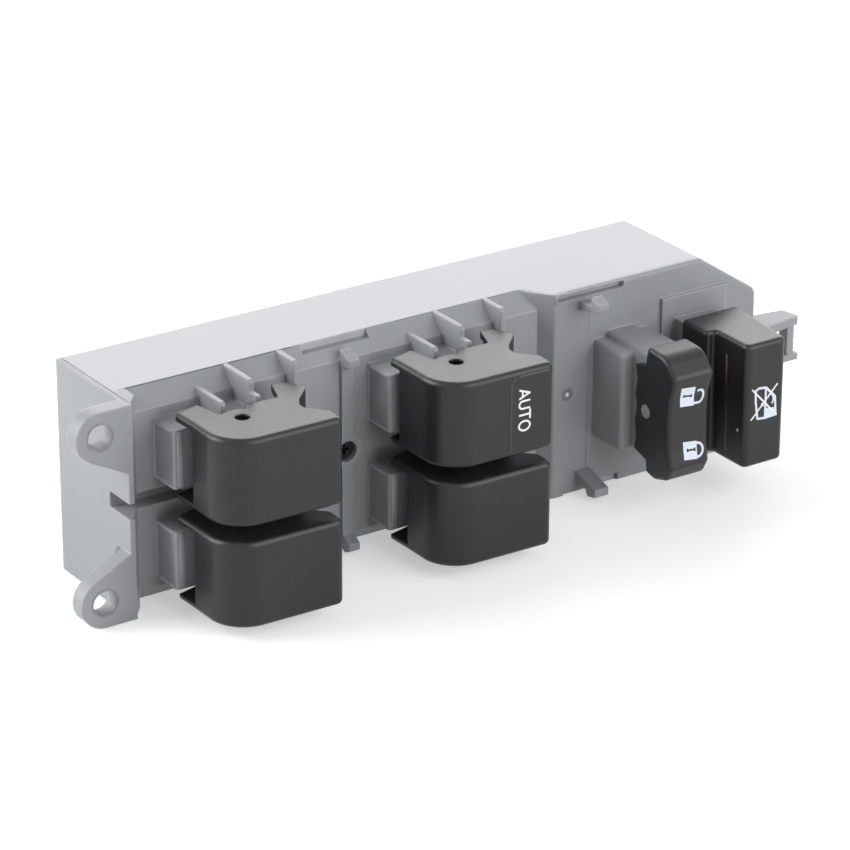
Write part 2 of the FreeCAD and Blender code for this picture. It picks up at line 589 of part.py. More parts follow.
def front_case():
    walls, cuts = shell_walls()
    solids = [cut("slotted_walls", fuse("plain_walls", walls), panel_slots())]
    for extra_solids, extra_cuts in (ears(), left_groove(), lock_tower(), button_guide(), screw_pillar()):
        solids += extra_solids
        cuts += extra_cuts
    for name, x, z in knob_places():
        tower, hollow = window_tower(name, x, z)
        solids += tower
        cuts += hollow
    solids += knob_ribs() + bezel_clips() + fixing_loop()
    for number, (x, z, back) in enumerate(board_posts()):
        solids.append(rod(f"board_post{number}", "Y", x, back, z, "5.2", f"board_y - {back}"))
        cuts.append(rod(f"board_post_hole{number}", "Y", x, "board_y - 6", z,
                        "screw_shank_dia + 2 * screw_gap", "7"))
    node(cut("front_case_solid", fuse("front_case_walls", solids), cuts), "front_case")


# Rear cover
def rear_cover():
    """Light shell open to the front and to the left, where the case's end plate closes it."""
    outline = [(COVER_X, "cover_back_y"), (COVER_X, "seam_y"), ("step_start_x + 0.8", "seam_y"),
               ("step_high_x - 0.4", "high_seam_y"), (COVER_END, "high_seam_y"), (COVER_END, "cover_back_y")]
    shell = prism("cover_shell", "XY", outline, f"-{HALF}", "case_height", rounds=[(5, "0.8")])
    inner = f"({HALF} - cover_wall)"
    hollow = block("cover_hollow", f"{COVER_X} - 1", "0", f"-{inner}", "cover_length + 1 - cover_wall",
                   COVER_INSIDE, f"2 * {inner}")
    boss = rod("cover_boss", "Y", "pillar_x", "seam_y", "screw_z", "6.4", f"cover_back_y - 1 - seam_y")
    boss_hole = rod("cover_boss_hole", "Y", "pillar_x", "seam_y - 1", "screw_z",
                    "screw_shank_dia + 2 * screw_gap",
                    "15")
    window = block("socket_window", "socket_x - socket_length / 2 - socket_gap", f"{COVER_INSIDE} - 1",
                   "-socket_height / 2 - socket_gap", "socket_length + 2 * socket_gap", "cover_wall + 2",
                   "socket_height + 2 * socket_gap")
    walls = cut("cover_walls", shell, [hollow, window])
    node(cut("rear_cover_solid", fuse("cover_with_boss", [walls, boss]), [boss_hole]), "rear_cover")


# Window knobs
def knob_outline():
    """Cheek outline about the pivot: left side, front, pull tip, neck, horn and the notch for the rib."""
    return [("-knob_left - 0.2", "9.2"), ("-knob_left", "3"), ("-knob_left", "-knob_front + 0.2"),
            ("knob_tip", "-knob_front - 0.3"), ("knob_tip + 0.4", "-8"), ("13.5", "-2.8"), ("13.7", "-0.6"),
            ("15.1", "1.6"), ("19.9", "6.4"), ("17.1", "11.3"), ("14.2", "11.5"), ("11.9", "4.9"),
            ("4.1", "5.8"),
            ("3", "3.6"), ("1.5", "4.5"), ("-0.3", "4.6"), ("-3.2", "3.8"), ("-4.6", "10.9")]


def tip_wedge(name, side):
    """A slim wedge off the pull tip, above or below, so that the knob's right side bows."""
    bow = (("3", 0.1), ("0.42", 0.1), ("0.32", 0.21), ("0.1", 0.32), ("-0.25", 0.43), ("-0.75", 0.55),
           ("3", 0.55))
    outline = [(f"knob_tip + {step}", f"{side * share} * knob_height") for step, share in bow]
    return prism(f"{name}_wedge{side + 1}", "XZ", outline, "-knob_front - 2", "knob_front + 2 - 6.4")


def window_knob(name, x, z):
    """One knob: outer form, hollow, pivot bosses, detent cam and switch leg. The upper front knob has a
    longer left wall and a sunk field for its word."""
    half = "(knob_height / 2)"
    outer = prism(f"{name}_outer", "XY", knob_outline(), f"-{half}", "knob_height",
                  rounds=[(2, "knob_corner_radius"), (3, "1.8"), ((5, 6), "0.9"), (8, "1.2"), (11, "1")])
    shape = outer.Shape
    names = []
    for edge in cap_edges(shape, "Z", True) + cap_edges(shape, "Z", False):
        box = shape.getElement(edge).BoundBox
        if box.YMax < -7.9 or (box.YMax < 3.1 and box.XMax < 0):
            names.append(edge)
    rounded(outer, outer.Tip, names, "knob_edge_radius")
    wall = "knob_wall"
    wall_end = "6" if name == "front_driver" else "2.8"
    hollow = [("-knob_left - 2", "14"), ("-knob_left - 2", wall_end), (f"-knob_left + {wall}", wall_end),
              (f"-knob_left + {wall}", f"-knob_front + 0.2 + {wall}"),
              (f"knob_tip - 0.6 - {wall}", f"-knob_front - 0.3 + {wall}"),
              (f"knob_tip - 0.5 - {wall}", "-8"),
              (f"13.5 - {wall}", "-3.2"), (f"13.7 - {wall}", "1.2"), (f"19.3 - {wall}", "6.6"),
              (f"17.1 - {wall}", "10.4"), ("14.5", "14")]
    inside = prism(f"{name}_inside", "XY", hollow, f"-{CHEEK_IN}", f"2 * {CHEEK_IN}",
                   rounds=[(3, "knob_corner_radius - knob_wall")])
    shell = cut(f"{name}_shell", outer, [inside, tip_wedge(name, 1), tip_wedge(name, -1)])
    adds, cuts = [], []
    tower_half = "tower_height / 2"
    boss_length = f"({CHEEK_IN} - {tower_half} + boss_depth)"
    for side, tag in ((1, "high"), (-1, "low")):
        start = f"{tower_half} - boss_depth" if side > 0 else f"-{CHEEK_IN} - 0.5"
        adds.append(rod(f"{name}_boss_{tag}", "Z", "0", "0", start, "boss_dia", f"{boss_length} + 0.5"))
    cuts.append(rod(f"{name}_pivot_hole", "Z", "0", "0", f"-{half} - 1", "boss_bore_dia", "knob_height + 2"))
    pad = block(f"{name}_cam_pad", "-4.5", f"-knob_front + {wall} - 1", "-3.4", "9", "knob_front - 4.9",
                "6.8")
    cam = rod(f"{name}_cam", "Z", "0", "0", "-4", "2 * cam_radius", "8")
    adds.append(cut(f"{name}_cam_face", pad, [cam]))
    adds.append(block(f"{name}_web", "leg_x - leg_thick / 2", f"-knob_front + {wall} - 0.8", f"-{CHEEK_IN}",
                      "leg_thick", "knob_front - 0.8 + 3.2", f"2 * {CHEEK_IN}"))
    adds.append(block(f"{name}_leg", "leg_x - leg_thick / 2", "0", "-leg_width / 2", "leg_thick", "leg_end",
                      "leg_width"))
    if name == "front_driver":
        cuts.append(prism("auto_pad", "XZ",
                          [("knob_tip - 11.2", f"-{half} - 1"), ("knob_tip + 2", f"-{half} - 1"),
                     ("knob_tip + 2", f"{half} - 1.6"), ("knob_tip - 11.2", f"{half} - 1.6")],
                          "-knob_front - 1.3", "1.35", rounds=[(3, "2")]))
    knob = cut(f"{name}_knob", fuse(f"{name}_filled", [shell] + adds), cuts)
    node(place(knob, x, "knob_pivot_y", z), f"{name}_window_knob")


def plunger(label, x, y, z, tip):
    """Round-nosed detent plunger along Y; tip is how far its nose stands in front of the pivot."""
    shaft = rod(f"{label}_shaft", "Y", "0", f"-({tip}) + plunger_dia / 2", "0", "plunger_dia",
                f"{tip} - plunger_dia / 2 + plunger_tail")
    nose = ball(f"{label}_nose", "0", f"-({tip}) + plunger_dia / 2", "0", "plunger_dia")
    node(place(fuse(f"{label}_solid", [shaft, nose]), x, y, z), label)


def coil_spring(label, x, y, z, start, length, turns, diameter):
    """Coil spring along Y, made of a round wire swept along a helix."""
    body = doc.addObject("PartDesign::Body", f"{label}_body")
    sketch = body.newObject("Sketcher::SketchObject", f"{label}_wire")
    plane = next(item for item in body.Origin.OriginFeatures if item.Role == "YZ_Plane")
    sketch.AttachmentSupport = (plane, "")
    sketch.MapMode = "FlatFace"
    sketch.addGeometry(Part.Circle(Vector(0, 1, 0), Vector(0, 0, 1), 0.2), False)
    for kind, formula in (("DistanceX", start), ("DistanceY", f"({diameter} - spring_wire) / 2")):
        number = sketch.addConstraint(Sketcher.Constraint(kind, -1, 1, 0, 3, 1.0))
        sketch.setExpression(f"Constraints[{number}]", linked(formula))
    number = sketch.addConstraint(Sketcher.Constraint("Radius", 0, 0.2))
    sketch.setExpression(f"Constraints[{number}]", linked("spring_wire / 2"))
    coil = body.newObject("PartDesign::AdditiveHelix", f"{label}_coil")
    coil.Profile = sketch
    coil.ReferenceAxis = (sketch, ["H_Axis"])
    coil.Mode = "height-turns-angle"
    bind(coil, "Height", f"{length}")
    bind(coil, "Turns", turns)
    node(place(body, x, y, z), label)


def contact_slider(name, label, x, y, z, along_z=False):
    """Slider with a fork for its leg, and the sheet contact plate on its back."""
    base = block(f"{name}_slider_base", "-slider_length / 2", "0", "-slider_width / 2", "slider_length",
                 "slider_depth", "slider_width")
    fork = block(f"{name}_fork", "-fork_gap / 2", "-1", "-leg_width / 2 - 0.4", "fork_gap", "fork_depth + 1",
                 "leg_width + 0.8")
    slider = cut(f"{name}_slider_solid", base, [fork])
    sheet_half = "(slider_length / 2 - 1)"
    top = "slider_depth"
    feet = "slider_depth + plate_depth"
    outline = [(f"-{sheet_half}", top), (sheet_half, top), (sheet_half, f"{feet} - 0.1"),
               (f"{sheet_half} - 1.2", feet),
               (f"{sheet_half} - 1.6", f"{feet} - plate_sheet"),
               (f"{sheet_half} - 0.5", f"{feet} - plate_sheet - 0.2"),
               (f"{sheet_half} - 0.5", f"{top} + plate_sheet"),
               (f"-{sheet_half} + 0.5", f"{top} + plate_sheet"),
               (f"-{sheet_half} + 0.5", f"{feet} - plate_sheet - 0.2"),
               (f"-{sheet_half} + 1.6", f"{feet} - plate_sheet"),
               (f"-{sheet_half} + 1.2", feet), (f"-{sheet_half}", f"{feet} - 0.1")]
    plate = prism(f"{name}_plate", "XY", outline, "-3", "6")
    for thing, part in ((slider, "contact_slider"), (plate, "contact_plate")):
        if along_z:
            thing.Placement = FreeCAD.Placement(Vector(), FreeCAD.Rotation(Vector(0, 1, 0), 90))
        node(place(thing, x, y, z), f"{label}_{part}")


# Door lock rocker
def lock_rocker():
    half = "(rocker_width / 2)"
    outline = [("0.3", "rocker_top + 0.4"), ("-rocker_brow + 4.1", "rocker_top"),
               ("-rocker_brow", "rocker_top - 4.2"),
               ("-rocker_brow + 1.7", "5.5"), ("-rocker_brow + 2.1", "0"), ("-rocker_brow + 1.7", "-6.5"),
               ("-rocker_brow + 0.9", "-11"), ("-rocker_brow + 2.6", "-rocker_top + 0.9"),
               ("-3.4", "-rocker_top - 0.4"), ("-0.3", "-rocker_top + 0.4"), ("0", "-11.4"),
               ("3.7", "-10.2"),
               ("3.1", "-6.8"), ("3.7", "-3.4"), ("3.0", "0"), ("3.7", "3.4"), ("3.1", "6.8"),
               ("3.8", "10.3"),
               ("0.3", "11.2")]
    outer = prism("rocker_outer", "YZ", outline, f"-{half}", "rocker_width",
                  rounds=[(0, "1"), (1, "5"), (2, "1.6"), (3, "4"), (5, "6"), (6, "1.8"), (7, "2.2"),
                          (8, "3"),
                          (9, "0.8")])
    shape = outer.Shape
    names = [edge for edge in cap_edges(shape, "X", True) + cap_edges(shape, "X", False)
             if shape.getElement(edge).BoundBox.YMax < 0.35]
    rounded(outer, outer.Tip, names, "key_edge_radius")
    wall = "rocker_wall"
    hollow = [("8", f"rocker_top - {wall}"), (f"-rocker_brow + 4.3 + {wall} / 2", f"rocker_top - {wall}"),
              (f"-rocker_brow + 0.4 + {wall}", f"rocker_top - 4.4 - {wall} / 2"),
              (f"-rocker_brow + 1.9 + {wall}", "5"),
              (f"-rocker_brow + 2.2 + {wall}", "0"), (f"-rocker_brow + 1.9 + {wall}", "-6"),
              (f"-rocker_brow + 1.2 + {wall}", "-10.4"),
              (f"-rocker_brow + 2.6 + {wall}", f"-rocker_top + 1 + {wall}"),
              ("8", f"-rocker_top + 0.6 + {wall}")]
    inside = prism("rocker_inside", "YZ", hollow, f"-({half} - rocker_cheek)",
                   f"2 * ({half} - rocker_cheek)")
    shell = cut("rocker_shell", outer, [inside])
    pad = block("rocker_cam_pad", "-3.2", "-rocker_brow + 2.2", "-3.8", "6.4", "rocker_brow - 2.2 - 3.6",
                "7.6")
    cam = rod("rocker_cam", "X", "-4", "0", "0", "2 * rocker_cam_radius", "8")
    leg = block("rocker_leg", "-leg_width / 2", "-rocker_brow + 2.4", "lock_leg_z - leg_thick / 2",
                "leg_width",
                "rocker_brow - 2.4 + slider_front_y - rocker_pivot_y + fork_depth - 1.6", "leg_thick")
    hole = rod("rocker_pin_hole", "X", f"-{half} - 1", "0", "0", "rocker_pin_dia + 2 * bearing_gap",
               "rocker_width + 2")
    filled = fuse("rocker_filled", [shell, cut("rocker_cam_face", pad, [cam]), leg])
    rocker = cut("lock_rocker_solid", filled, [hole])
    node(place(rocker, "rocker_x", "rocker_pivot_y", "0"), "lock_rocker")


# Window lock button
def button_outline(inset):
    """Plan of the button: narrow head in front, wider behind the step, right side spreading to the back."""
    front_left = f"(button_x - button_width / 2 + {inset})"
    front_right = f"(button_x + button_width / 2 - {inset})"
    back_left = f"({front_left} - button_step)"
    step_y = f"(button_front_y + button_head + {inset})"
    front = f"(button_front_y + {inset})"
    back = f"(button_front_y + button_length + 5 * {inset})"
    return [(front_left, front), (front_right, front), (f"{front_right} + button_taper", back),
            (back_left, back),
            (back_left, step_y), (front_left, step_y)]


def lockout_button():
    half = "(button_height / 2)"
    outer = prism("button_outer", "XY", button_outline("0"), f"button_z - {half}", "button_height",
                  rounds=[((0, 1), "1.6"), (4, "1.3"), (5, "0.9")])
    shape = outer.Shape
    back = shape.BoundBox.YMax
    names = [edge for edge in cap_edges(shape, "Z", True) + cap_edges(shape, "Z", False)
             if shape.getElement(edge).BoundBox.YMin < back - 0.5]
    rounded(outer, outer.Tip, names, "key_edge_radius")
    inside = prism("button_inside", "XY", button_outline("button_wall"), f"button_z - {half} + button_wall",
                   f"2 * ({half} - button_wall)")
    shell = cut("button_shell", outer, [inside])
    front = "(board_y - lockout_depth)"
    root = "(button_front_y + button_head + 0.3)"
    stem = block("button_stem", "stem_x - stem_side / 2", root, "-stem_side / 2", "stem_side",
                 f"{front} - lockout_reach - {root}", "stem_side")
    node(fuse("lockout_button_solid", [shell, stem]), "lockout_button")


def latching_switch():
    """Small latching switch on the board under the button: body, plunger and return spring."""
    front = "(board_y - lockout_depth)"
    body = block("lockout_body", "stem_x - lockout_side / 2", front, "-lockout_side / 2", "lockout_side",
                 "lockout_depth", "lockout_side")
    bore = rod("lockout_bore", "Y", "stem_x", f"{front} - 1", "0", "lockout_pin_dia + 2 * plunger_gap",
               "lockout_depth - 0.2")
    node(cut("lockout_switch_solid", body, [bore]), "lockout_switch")
    node(rod("lockout_plunger_solid", "Y", "stem_x", f"{front} - lockout_reach", "0", "lockout_pin_dia",
             "lockout_reach + lockout_tail"),
         "lockout_plunger")
    coil_spring("lockout_spring", "stem_x", f"{front}", "0", "lockout_tail + spring_wire / 2",
                "lockout_depth - 1.2 - lockout_tail - spring_wire", "5", "lockout_pin_dia - 0.4")


# Electrical pieces
def circuit_board():
    inner = f"({HALF} - cover_wall - board_margin)"
    board = block("board_blank", f"{COVER_X} + board_margin", "board_y", f"-{inner}",
                  "cover_length - cover_wall - 2 * board_margin", "board_thick", f"2 * {inner}")
    cuts = [rod("board_boss_hole", "Y", "pillar_x", "board_y - 1", "screw_z", "7.4", "board_thick + 2")]
    for number, (x, z, back) in enumerate(board_posts()):
        cuts.append(rod(f"board_hole{number}", "Y", x, "board_y - 1", z, "screw_shank_dia + 2 * screw_gap",
                        "board_thick + 2"))
    pins = pin_group("board_pins")
    node(cut("circuit_board_solid", board, cuts + [pins]), "circuit_board")


def pin_group(name):
    """Two rows of square pins from the board into the connector."""
    pins = []
    for row in (-1, 1):
        for place_number in range(8):
            x = f"socket_x + ({place_number} - 3.5) * pin_pitch - pin_side / 2"
            pins.append(block(f"{name}_{row + 1}_{place_number}", x, "board_y - 0.8",
                              f"{row} * pin_row_gap / 2 - pin_side / 2", "pin_side",
                              "board_thick + 0.8 + socket_wall + pin_length", "pin_side"))
    return fuse(name, pins)


def connector():
    length = f"(cover_back_y - {BOARD_BACK})"
    housing = block("housing_block", "socket_x - socket_length / 2", BOARD_BACK, "-socket_height / 2",
                    "socket_length", length, "socket_height")
    hollow = block("housing_hollow", "socket_x - socket_length / 2 + socket_wall",
                   f"{BOARD_BACK} + socket_wall",
                   "-socket_height / 2 + socket_wall", "socket_length - 2 * socket_wall", length,
                   "socket_height - 2 * socket_wall")
    node(cut("connector_housing_solid", housing, [hollow, pin_group("housing_pins")]), "connector_housing")
    node(pin_group("connector_pins_solid"), "connector_pins")


def board_parts():
    """Control chip, two relays, three indicator lamps and the screws."""
    chip_y = BOARD_BACK
    node(block("control_chip_solid", "126", chip_y, "-chip_side / 2", "chip_side", "chip_depth",
               "chip_side"),
         "control_chip")
    for name, z in (("relay_up", "relay_width / 2 + 2.5"), ("relay_down", "-relay_width / 2 - 2.5")):
        node(block(f"{name}_solid", "24", BOARD_BACK, f"{z} - relay_width / 2", "relay_length",
                   "relay_depth",
                   "relay_width"), name)
    lamps = []
    for number, x in enumerate(("knob_pivot_x + knob_pitch_x - 12", "rocker_x + 8", "button_x - 9")):
        lamps.append(block(f"lamp{number}", x, "board_y - 1.2", "8", "2", "1.2", "3.2"))
    node(fuse("indicator_lamps_solid", lamps), "indicator_lamps")
    head_y = "(low_panel_y + well_depth)"
    head = rod("case_screw_head", "Y", "pillar_x", f"{head_y} - screw_head_depth", "screw_z",
               "screw_head_dia",
               "screw_head_depth")
    shank = rod("case_screw_shank", "Y", "pillar_x", f"{head_y} - 0.5", "screw_z", "screw_shank_dia", "14")
    cross = [block("case_screw_slot_a", "pillar_x - 1.2", f"{head_y} - screw_head_depth - 1",
                   "screw_z - 0.3", "2.4",
                   "2", "0.6"),
             block("case_screw_slot_b", "pillar_x - 0.3", f"{head_y} - screw_head_depth - 1",
                   "screw_z - 1.2", "0.6",
                   "2", "2.4")]
    node(cut("case_screw_solid", fuse("case_screw_body", [head, shank]), cross), "case_screw")
    screws = []
    for number, (x, z, back) in enumerate(board_posts()):
        shaft = rod(f"board_screw_shank{number}", "Y", x, "board_y - 5", z, "screw_shank_dia",
                    "5 + board_thick + 0.5")
        top = rod(f"board_screw_head{number}", "Y", x, BOARD_BACK, z, "screw_shank_dia + 2.4", "1.8")
        screws.append(fuse(f"board_screw{number}", [shaft, top]))
    node(fuse("board_screws_solid", screws), "board_screws")


front_case()
rear_cover()
for knob_name, knob_x, knob_z in knob_places():
    window_knob(knob_name, knob_x, knob_z)
    plunger(f"{knob_name}_plunger", knob_x, "knob_pivot_y", knob_z, "cam_radius - cam_gap")
    coil_spring(f"{knob_name}_spring", knob_x, "knob_pivot_y", knob_z, "plunger_tail + spring_wire / 2",
                "plunger_bore_end - plunger_tail - spring_wire - 0.1", "spring_turns", "plunger_dia - 0.3")
    contact_slider(knob_name, knob_name, f"{knob_x} + leg_x", "slider_front_y", knob_z)
lock_rocker()
plunger("lock_plunger", "rocker_x", "rocker_pivot_y", "0", "rocker_cam_radius - cam_gap")
coil_spring("lock_spring", "rocker_x", "rocker_pivot_y", "0", "plunger_tail + spring_wire / 2",
            "plunger_bore_end - plunger_tail - spring_wire - 0.1", "spring_turns", "plunger_dia - 0.3")
contact_slider("lock", "lock", "rocker_x", "slider_front_y", "lock_leg_z", along_z=True)
lockout_button()
latching_switch()
circuit_board()
connector()
board_parts()
doc.recompute()

failed = [thing.Name for thing in doc.Objects if {"Invalid", "Error"} & set(thing.State)]
if failed:
    raise SystemExit(f"objects that failed: {failed}")
for thing in nodes:
    shape = thing.Shape
    if shape.isNull() or not shape.isValid() or not shape.Solids:
        raise SystemExit(f"bad shape: {thing.Label}")
for thing in nodes:
    thing.Shape.exportStep(f"parts/{thing.Label}.step")
    box = thing.Shape.BoundBox
    low = [round(level, 2) for level in (box.XMin, box.YMin, box.ZMin)]
    high = [round(level, 2) for level in (box.XMax, box.YMax, box.ZMax)]
    print(f"{thing.Label:34s} solids {len(thing.Shape.Solids)} volume {thing.Shape.Volume:9.1f}", low, high)
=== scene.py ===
"""Looks of the power window switch: finishes, printed marks, small moulded details, camera and light."""

import math

import bpy
import numpy as np
from bpy.props import FloatProperty, FloatVectorProperty, PointerProperty
from mathutils import Matrix, Vector


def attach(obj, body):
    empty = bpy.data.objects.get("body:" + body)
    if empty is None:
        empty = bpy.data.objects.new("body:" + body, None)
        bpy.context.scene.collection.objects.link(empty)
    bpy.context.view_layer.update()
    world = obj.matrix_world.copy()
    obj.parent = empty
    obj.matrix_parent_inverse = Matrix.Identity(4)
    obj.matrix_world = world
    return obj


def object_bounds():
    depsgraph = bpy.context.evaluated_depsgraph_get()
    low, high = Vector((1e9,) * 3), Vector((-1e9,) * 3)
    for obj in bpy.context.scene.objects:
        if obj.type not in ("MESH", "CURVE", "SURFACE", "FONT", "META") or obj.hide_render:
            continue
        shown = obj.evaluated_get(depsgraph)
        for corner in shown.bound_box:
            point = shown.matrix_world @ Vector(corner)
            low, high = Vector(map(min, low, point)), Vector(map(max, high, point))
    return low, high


bl_info = {
    "name": "Power window switch",
    "version": (1, 0, 0),
    "blender": (4, 5, 0),
    "location": "View3D > Sidebar > Window switch",
    "description": "Finishes, marks and small details of a driver's door switch",
    "category": "Object",
}

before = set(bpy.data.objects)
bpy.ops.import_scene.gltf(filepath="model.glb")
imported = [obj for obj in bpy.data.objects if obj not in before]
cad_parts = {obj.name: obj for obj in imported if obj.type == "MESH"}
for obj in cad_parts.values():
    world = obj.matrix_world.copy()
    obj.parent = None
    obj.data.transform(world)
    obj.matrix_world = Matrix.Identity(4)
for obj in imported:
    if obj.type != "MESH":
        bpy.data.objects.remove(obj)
CAD_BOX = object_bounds()
MM = 0.001
MICRON = 0.000001
KEYS = ("rear_driver", "rear_passenger", "front_driver", "front_passenger")

# The way that each flat face looks
OUTWARD = {"front": (0.0, -1.0, 0.0), "top": (0.0, 0.0, 1.0), "left": (-1.0, 0.0, 0.0)}

# Flat faces of the case and the button, in millimetres
HIGH_PANEL_Y = 1.0
EAR_FACE_Y = 0.0
COVER_TOP_Z = 25.0
TOWER_SHOULDER_Y = -4.2
TOWER_LEFT_X = (15.2, 69.5)
BUTTON_LEFT_X = 151.4

# Middles of the two knob rows, in millimetres
KNOB_ROWS_Z = (-11.8, 11.8)

# What lies on or under the moulded, printed and lacquered surfaces
DUST_COLOUR = (0.55, 0.54, 0.52)
SCRATCH_COLOUR = (0.30, 0.30, 0.29)
BARE_KEY_COLOUR = (0.10, 0.10, 0.105)
TRACK_COLOUR = (0.07, 0.24, 0.09)

# The point that the camera and the lamps look at
AIM = Vector((0.0818, 0.0085, 0.0))


# Sizes and colours that a user may change


def colour(name, description, value):
    """A colour property, in linear light."""
    return FloatVectorProperty(
        name=name, description=description, default=value, size=3, min=0, max=1, subtype="COLOR"
    )


def length(name, description, value):
    """A length property, in metres."""
    return FloatProperty(
        name=name, description=description, default=value, min=0, unit="LENGTH", subtype="DISTANCE"
    )


def share(name, description, value, top=1.0):
    """A plain number from nought to top."""
    return FloatProperty(name=name, description=description, default=value, min=0, max=top)


class SwitchFinishes(bpy.types.PropertyGroup):
    """Colours and surface values of the moulded and metal parts."""

    case_colour: colour("Case", "Grey of the front case", (0.296, 0.309, 0.322))
    cover_colour: colour("Cover", "Pale grey of the rear cover", (0.418, 0.420, 0.448))
    key_colour: colour("Keys", "Black of the knobs, the rocker and the button", (0.013, 0.013, 0.014))
    slider_colour: colour("Sliders", "Natural plastic of the sliders and plungers", (0.72, 0.70, 0.64))
    spring_colour: colour("Springs", "Drawn steel wire", (0.56, 0.56, 0.58))
    brass_colour: colour("Contacts", "Rolled brass of the contact plates", (0.70, 0.50, 0.22))
    board_colour: colour("Board", "Green lacquer of the circuit board", (0.022, 0.13, 0.055))
    housing_colour: colour("Housings", "Black of the connector, relays and chip", (0.022, 0.022, 0.024))
    pin_colour: colour("Pins", "Tinned pins of the connector", (0.74, 0.72, 0.69))
    screw_colour: colour("Screws", "Dark plated steel of the screws", (0.055, 0.055, 0.058))
    lamp_colour: colour("Lamps", "Amber lens of the indicator lamps", (0.80, 0.42, 0.12))
    print_colour: colour("Print", "Bluish white of the printed marks", (0.74, 0.80, 0.92))
    bright_colour: colour("Bright print", "Warmer white of the lettering", (0.86, 0.87, 0.88))
    glow_colour: colour("Light guide", "Dull red of the button's light guide", (0.085, 0.016, 0.011))
    case_rough: share("Case roughness", "Surface roughness of the case", 0.42)
    key_rough: share("Key roughness", "Surface roughness of the knobs", 0.33)
    grain_size: length("Grain size", "Pitch of the moulded grain", 0.00032)
    # The width of the rounded edge, in the shading and in the painted highlight along it
    rub_and_highlight_width: length("Rub and highlight width", "Width of the rounded, polished edge", 0.0006)


class SwitchMarks(bpy.types.PropertyGroup):
    """Sizes of the printed marks."""

    print_depth: length("Print thickness", "How far the print stands off the surface", 0.00003)
    letter_stroke: length("Letter stroke", "Stroke width of the lettering", 0.00046)
    letter_height: length("Letter height", "Height of the capitals", 0.0029)
    outline_stroke: length("Outline stroke", "Stroke width of the door glass mark", 0.00056)
    cross_stroke: length("Cross stroke", "Stroke width of the two crossing lines", 0.0004)
    shackle_stroke: length("Shackle stroke", "Stroke width of the padlocks' shackles", 0.00058)


class SwitchStage(bpy.types.PropertyGroup):
    """Camera and light."""

    lens: FloatProperty(
        name="Lens",
        description="Focal length for a 36 mm sensor",
        default=169.98,
        min=20,
        subtype="DISTANCE_CAMERA",
    )
    distance: length("Distance", "From the object's middle to the camera", 0.894525)
    azimuth: FloatProperty(
        name="Azimuth",
        description="Turn of the camera round the object",
        default=math.radians(-33.59),
        subtype="ANGLE",
    )
    elevation: FloatProperty(
        name="Elevation",
        description="Height angle of the camera",
        default=math.radians(23.746),
        subtype="ANGLE",
    )
    roll: FloatProperty(
        name="Roll", description="Lean of the camera", default=math.radians(0.09), subtype="ANGLE"
    )
    sky: share("Sky light", "Strength of the even light from all round", 0.30, 4.0)
    key_power: share("Key light", "Power of the lamp on the left", 15.5, 200.0)
    fill_power: share("Fill light", "Power of the lamp in front on the right", 11.0, 200.0)
    back_power: share("Back light", "Power of the wide lamp behind", 8.0, 200.0)
    floor_tone: share("Floor", "Grey value of the floor", 0.80)
    floor_lift: share("Floor lift", "Brightness added to the floor for the camera", 0.44)


def settings(context):
    """The three groups of values, from the scene."""
    scene = context.scene
    return scene.switch_finishes, scene.switch_marks, scene.switch_stage


# Node trees


class Tree:
    """Short calls for placing and joining shader nodes."""

    def __init__(self, tree):
        self.tree = tree

    def node(self, kind, inputs=None, **values):
        """A new node with its own settings and its inputs, each a plain value or another node's output."""
        made = self.tree.nodes.new(kind)
        for name, value in values.items():
            setattr(made, name, value)
        for name, value in (inputs or {}).items():
            self.feed(made.inputs[name], value)
        return made

    def feed(self, socket, value):
        """Joins an output to the socket, or sets the socket to a plain value."""
        if isinstance(value, bpy.types.NodeSocket):
            self.tree.links.new(value, socket)
        else:
            socket.default_value = value

    def math(self, operation, first, second=0.0, clamp=False):
        """One sum of two values."""
        made = self.node("ShaderNodeMath", {0: first, 1: second}, operation=operation, use_clamp=clamp)
        return made.outputs[0]

    def spread(self, value, low, high, to_low=0.0, to_high=1.0):
        """Carries a value from one range to another and keeps it inside."""
        made = self.node(
            "ShaderNodeMapRange",
            {"Value": value, "From Min": low, "From Max": high, "To Min": to_low, "To Max": to_high},
        )
        return made.outputs["Result"]

    def blend(self, factor, first, second):
        """One colour over another: inputs 6 and 7 of a Mix node are its two colours."""
        made = self.node("ShaderNodeMix", data_type="RGBA")
        self.feed(made.inputs[0], factor)
        self.feed(made.inputs[6], first)
        self.feed(made.inputs[7], second)
        return made.outputs[2]

    def noise(self, point, scale, detail=2.0, rough=0.5):
        """A cloudy value about one half."""
        made = self.node(
            "ShaderNodeTexNoise", {"Vector": point, "Scale": scale, "Detail": detail, "Roughness": rough}
        )
        return made.outputs["Fac"]

    def stretched(self, point, scale):
        """The point stretched by three factors."""
        return self.node("ShaderNodeMapping", {"Vector": point, "Scale": scale}).outputs["Vector"]


def shader_group(name, inputs, outputs):
    """An empty node group with its named sockets; returns its Tree, its input node and its output node."""
    made = bpy.data.node_groups.new(name, "ShaderNodeTree")
    for label, kind, value in inputs:
        socket = made.interface.new_socket(label, in_out="INPUT", socket_type=kind)
        if value is not None:
            socket.default_value = value
    for label, kind in outputs:
        made.interface.new_socket(label, in_out="OUTPUT", socket_type=kind)
    tree = Tree(made)
    return tree, tree.node("NodeGroupInput"), tree.node("NodeGroupOutput")


FLOAT = "NodeSocketFloat"
VECTOR = "NodeSocketVector"


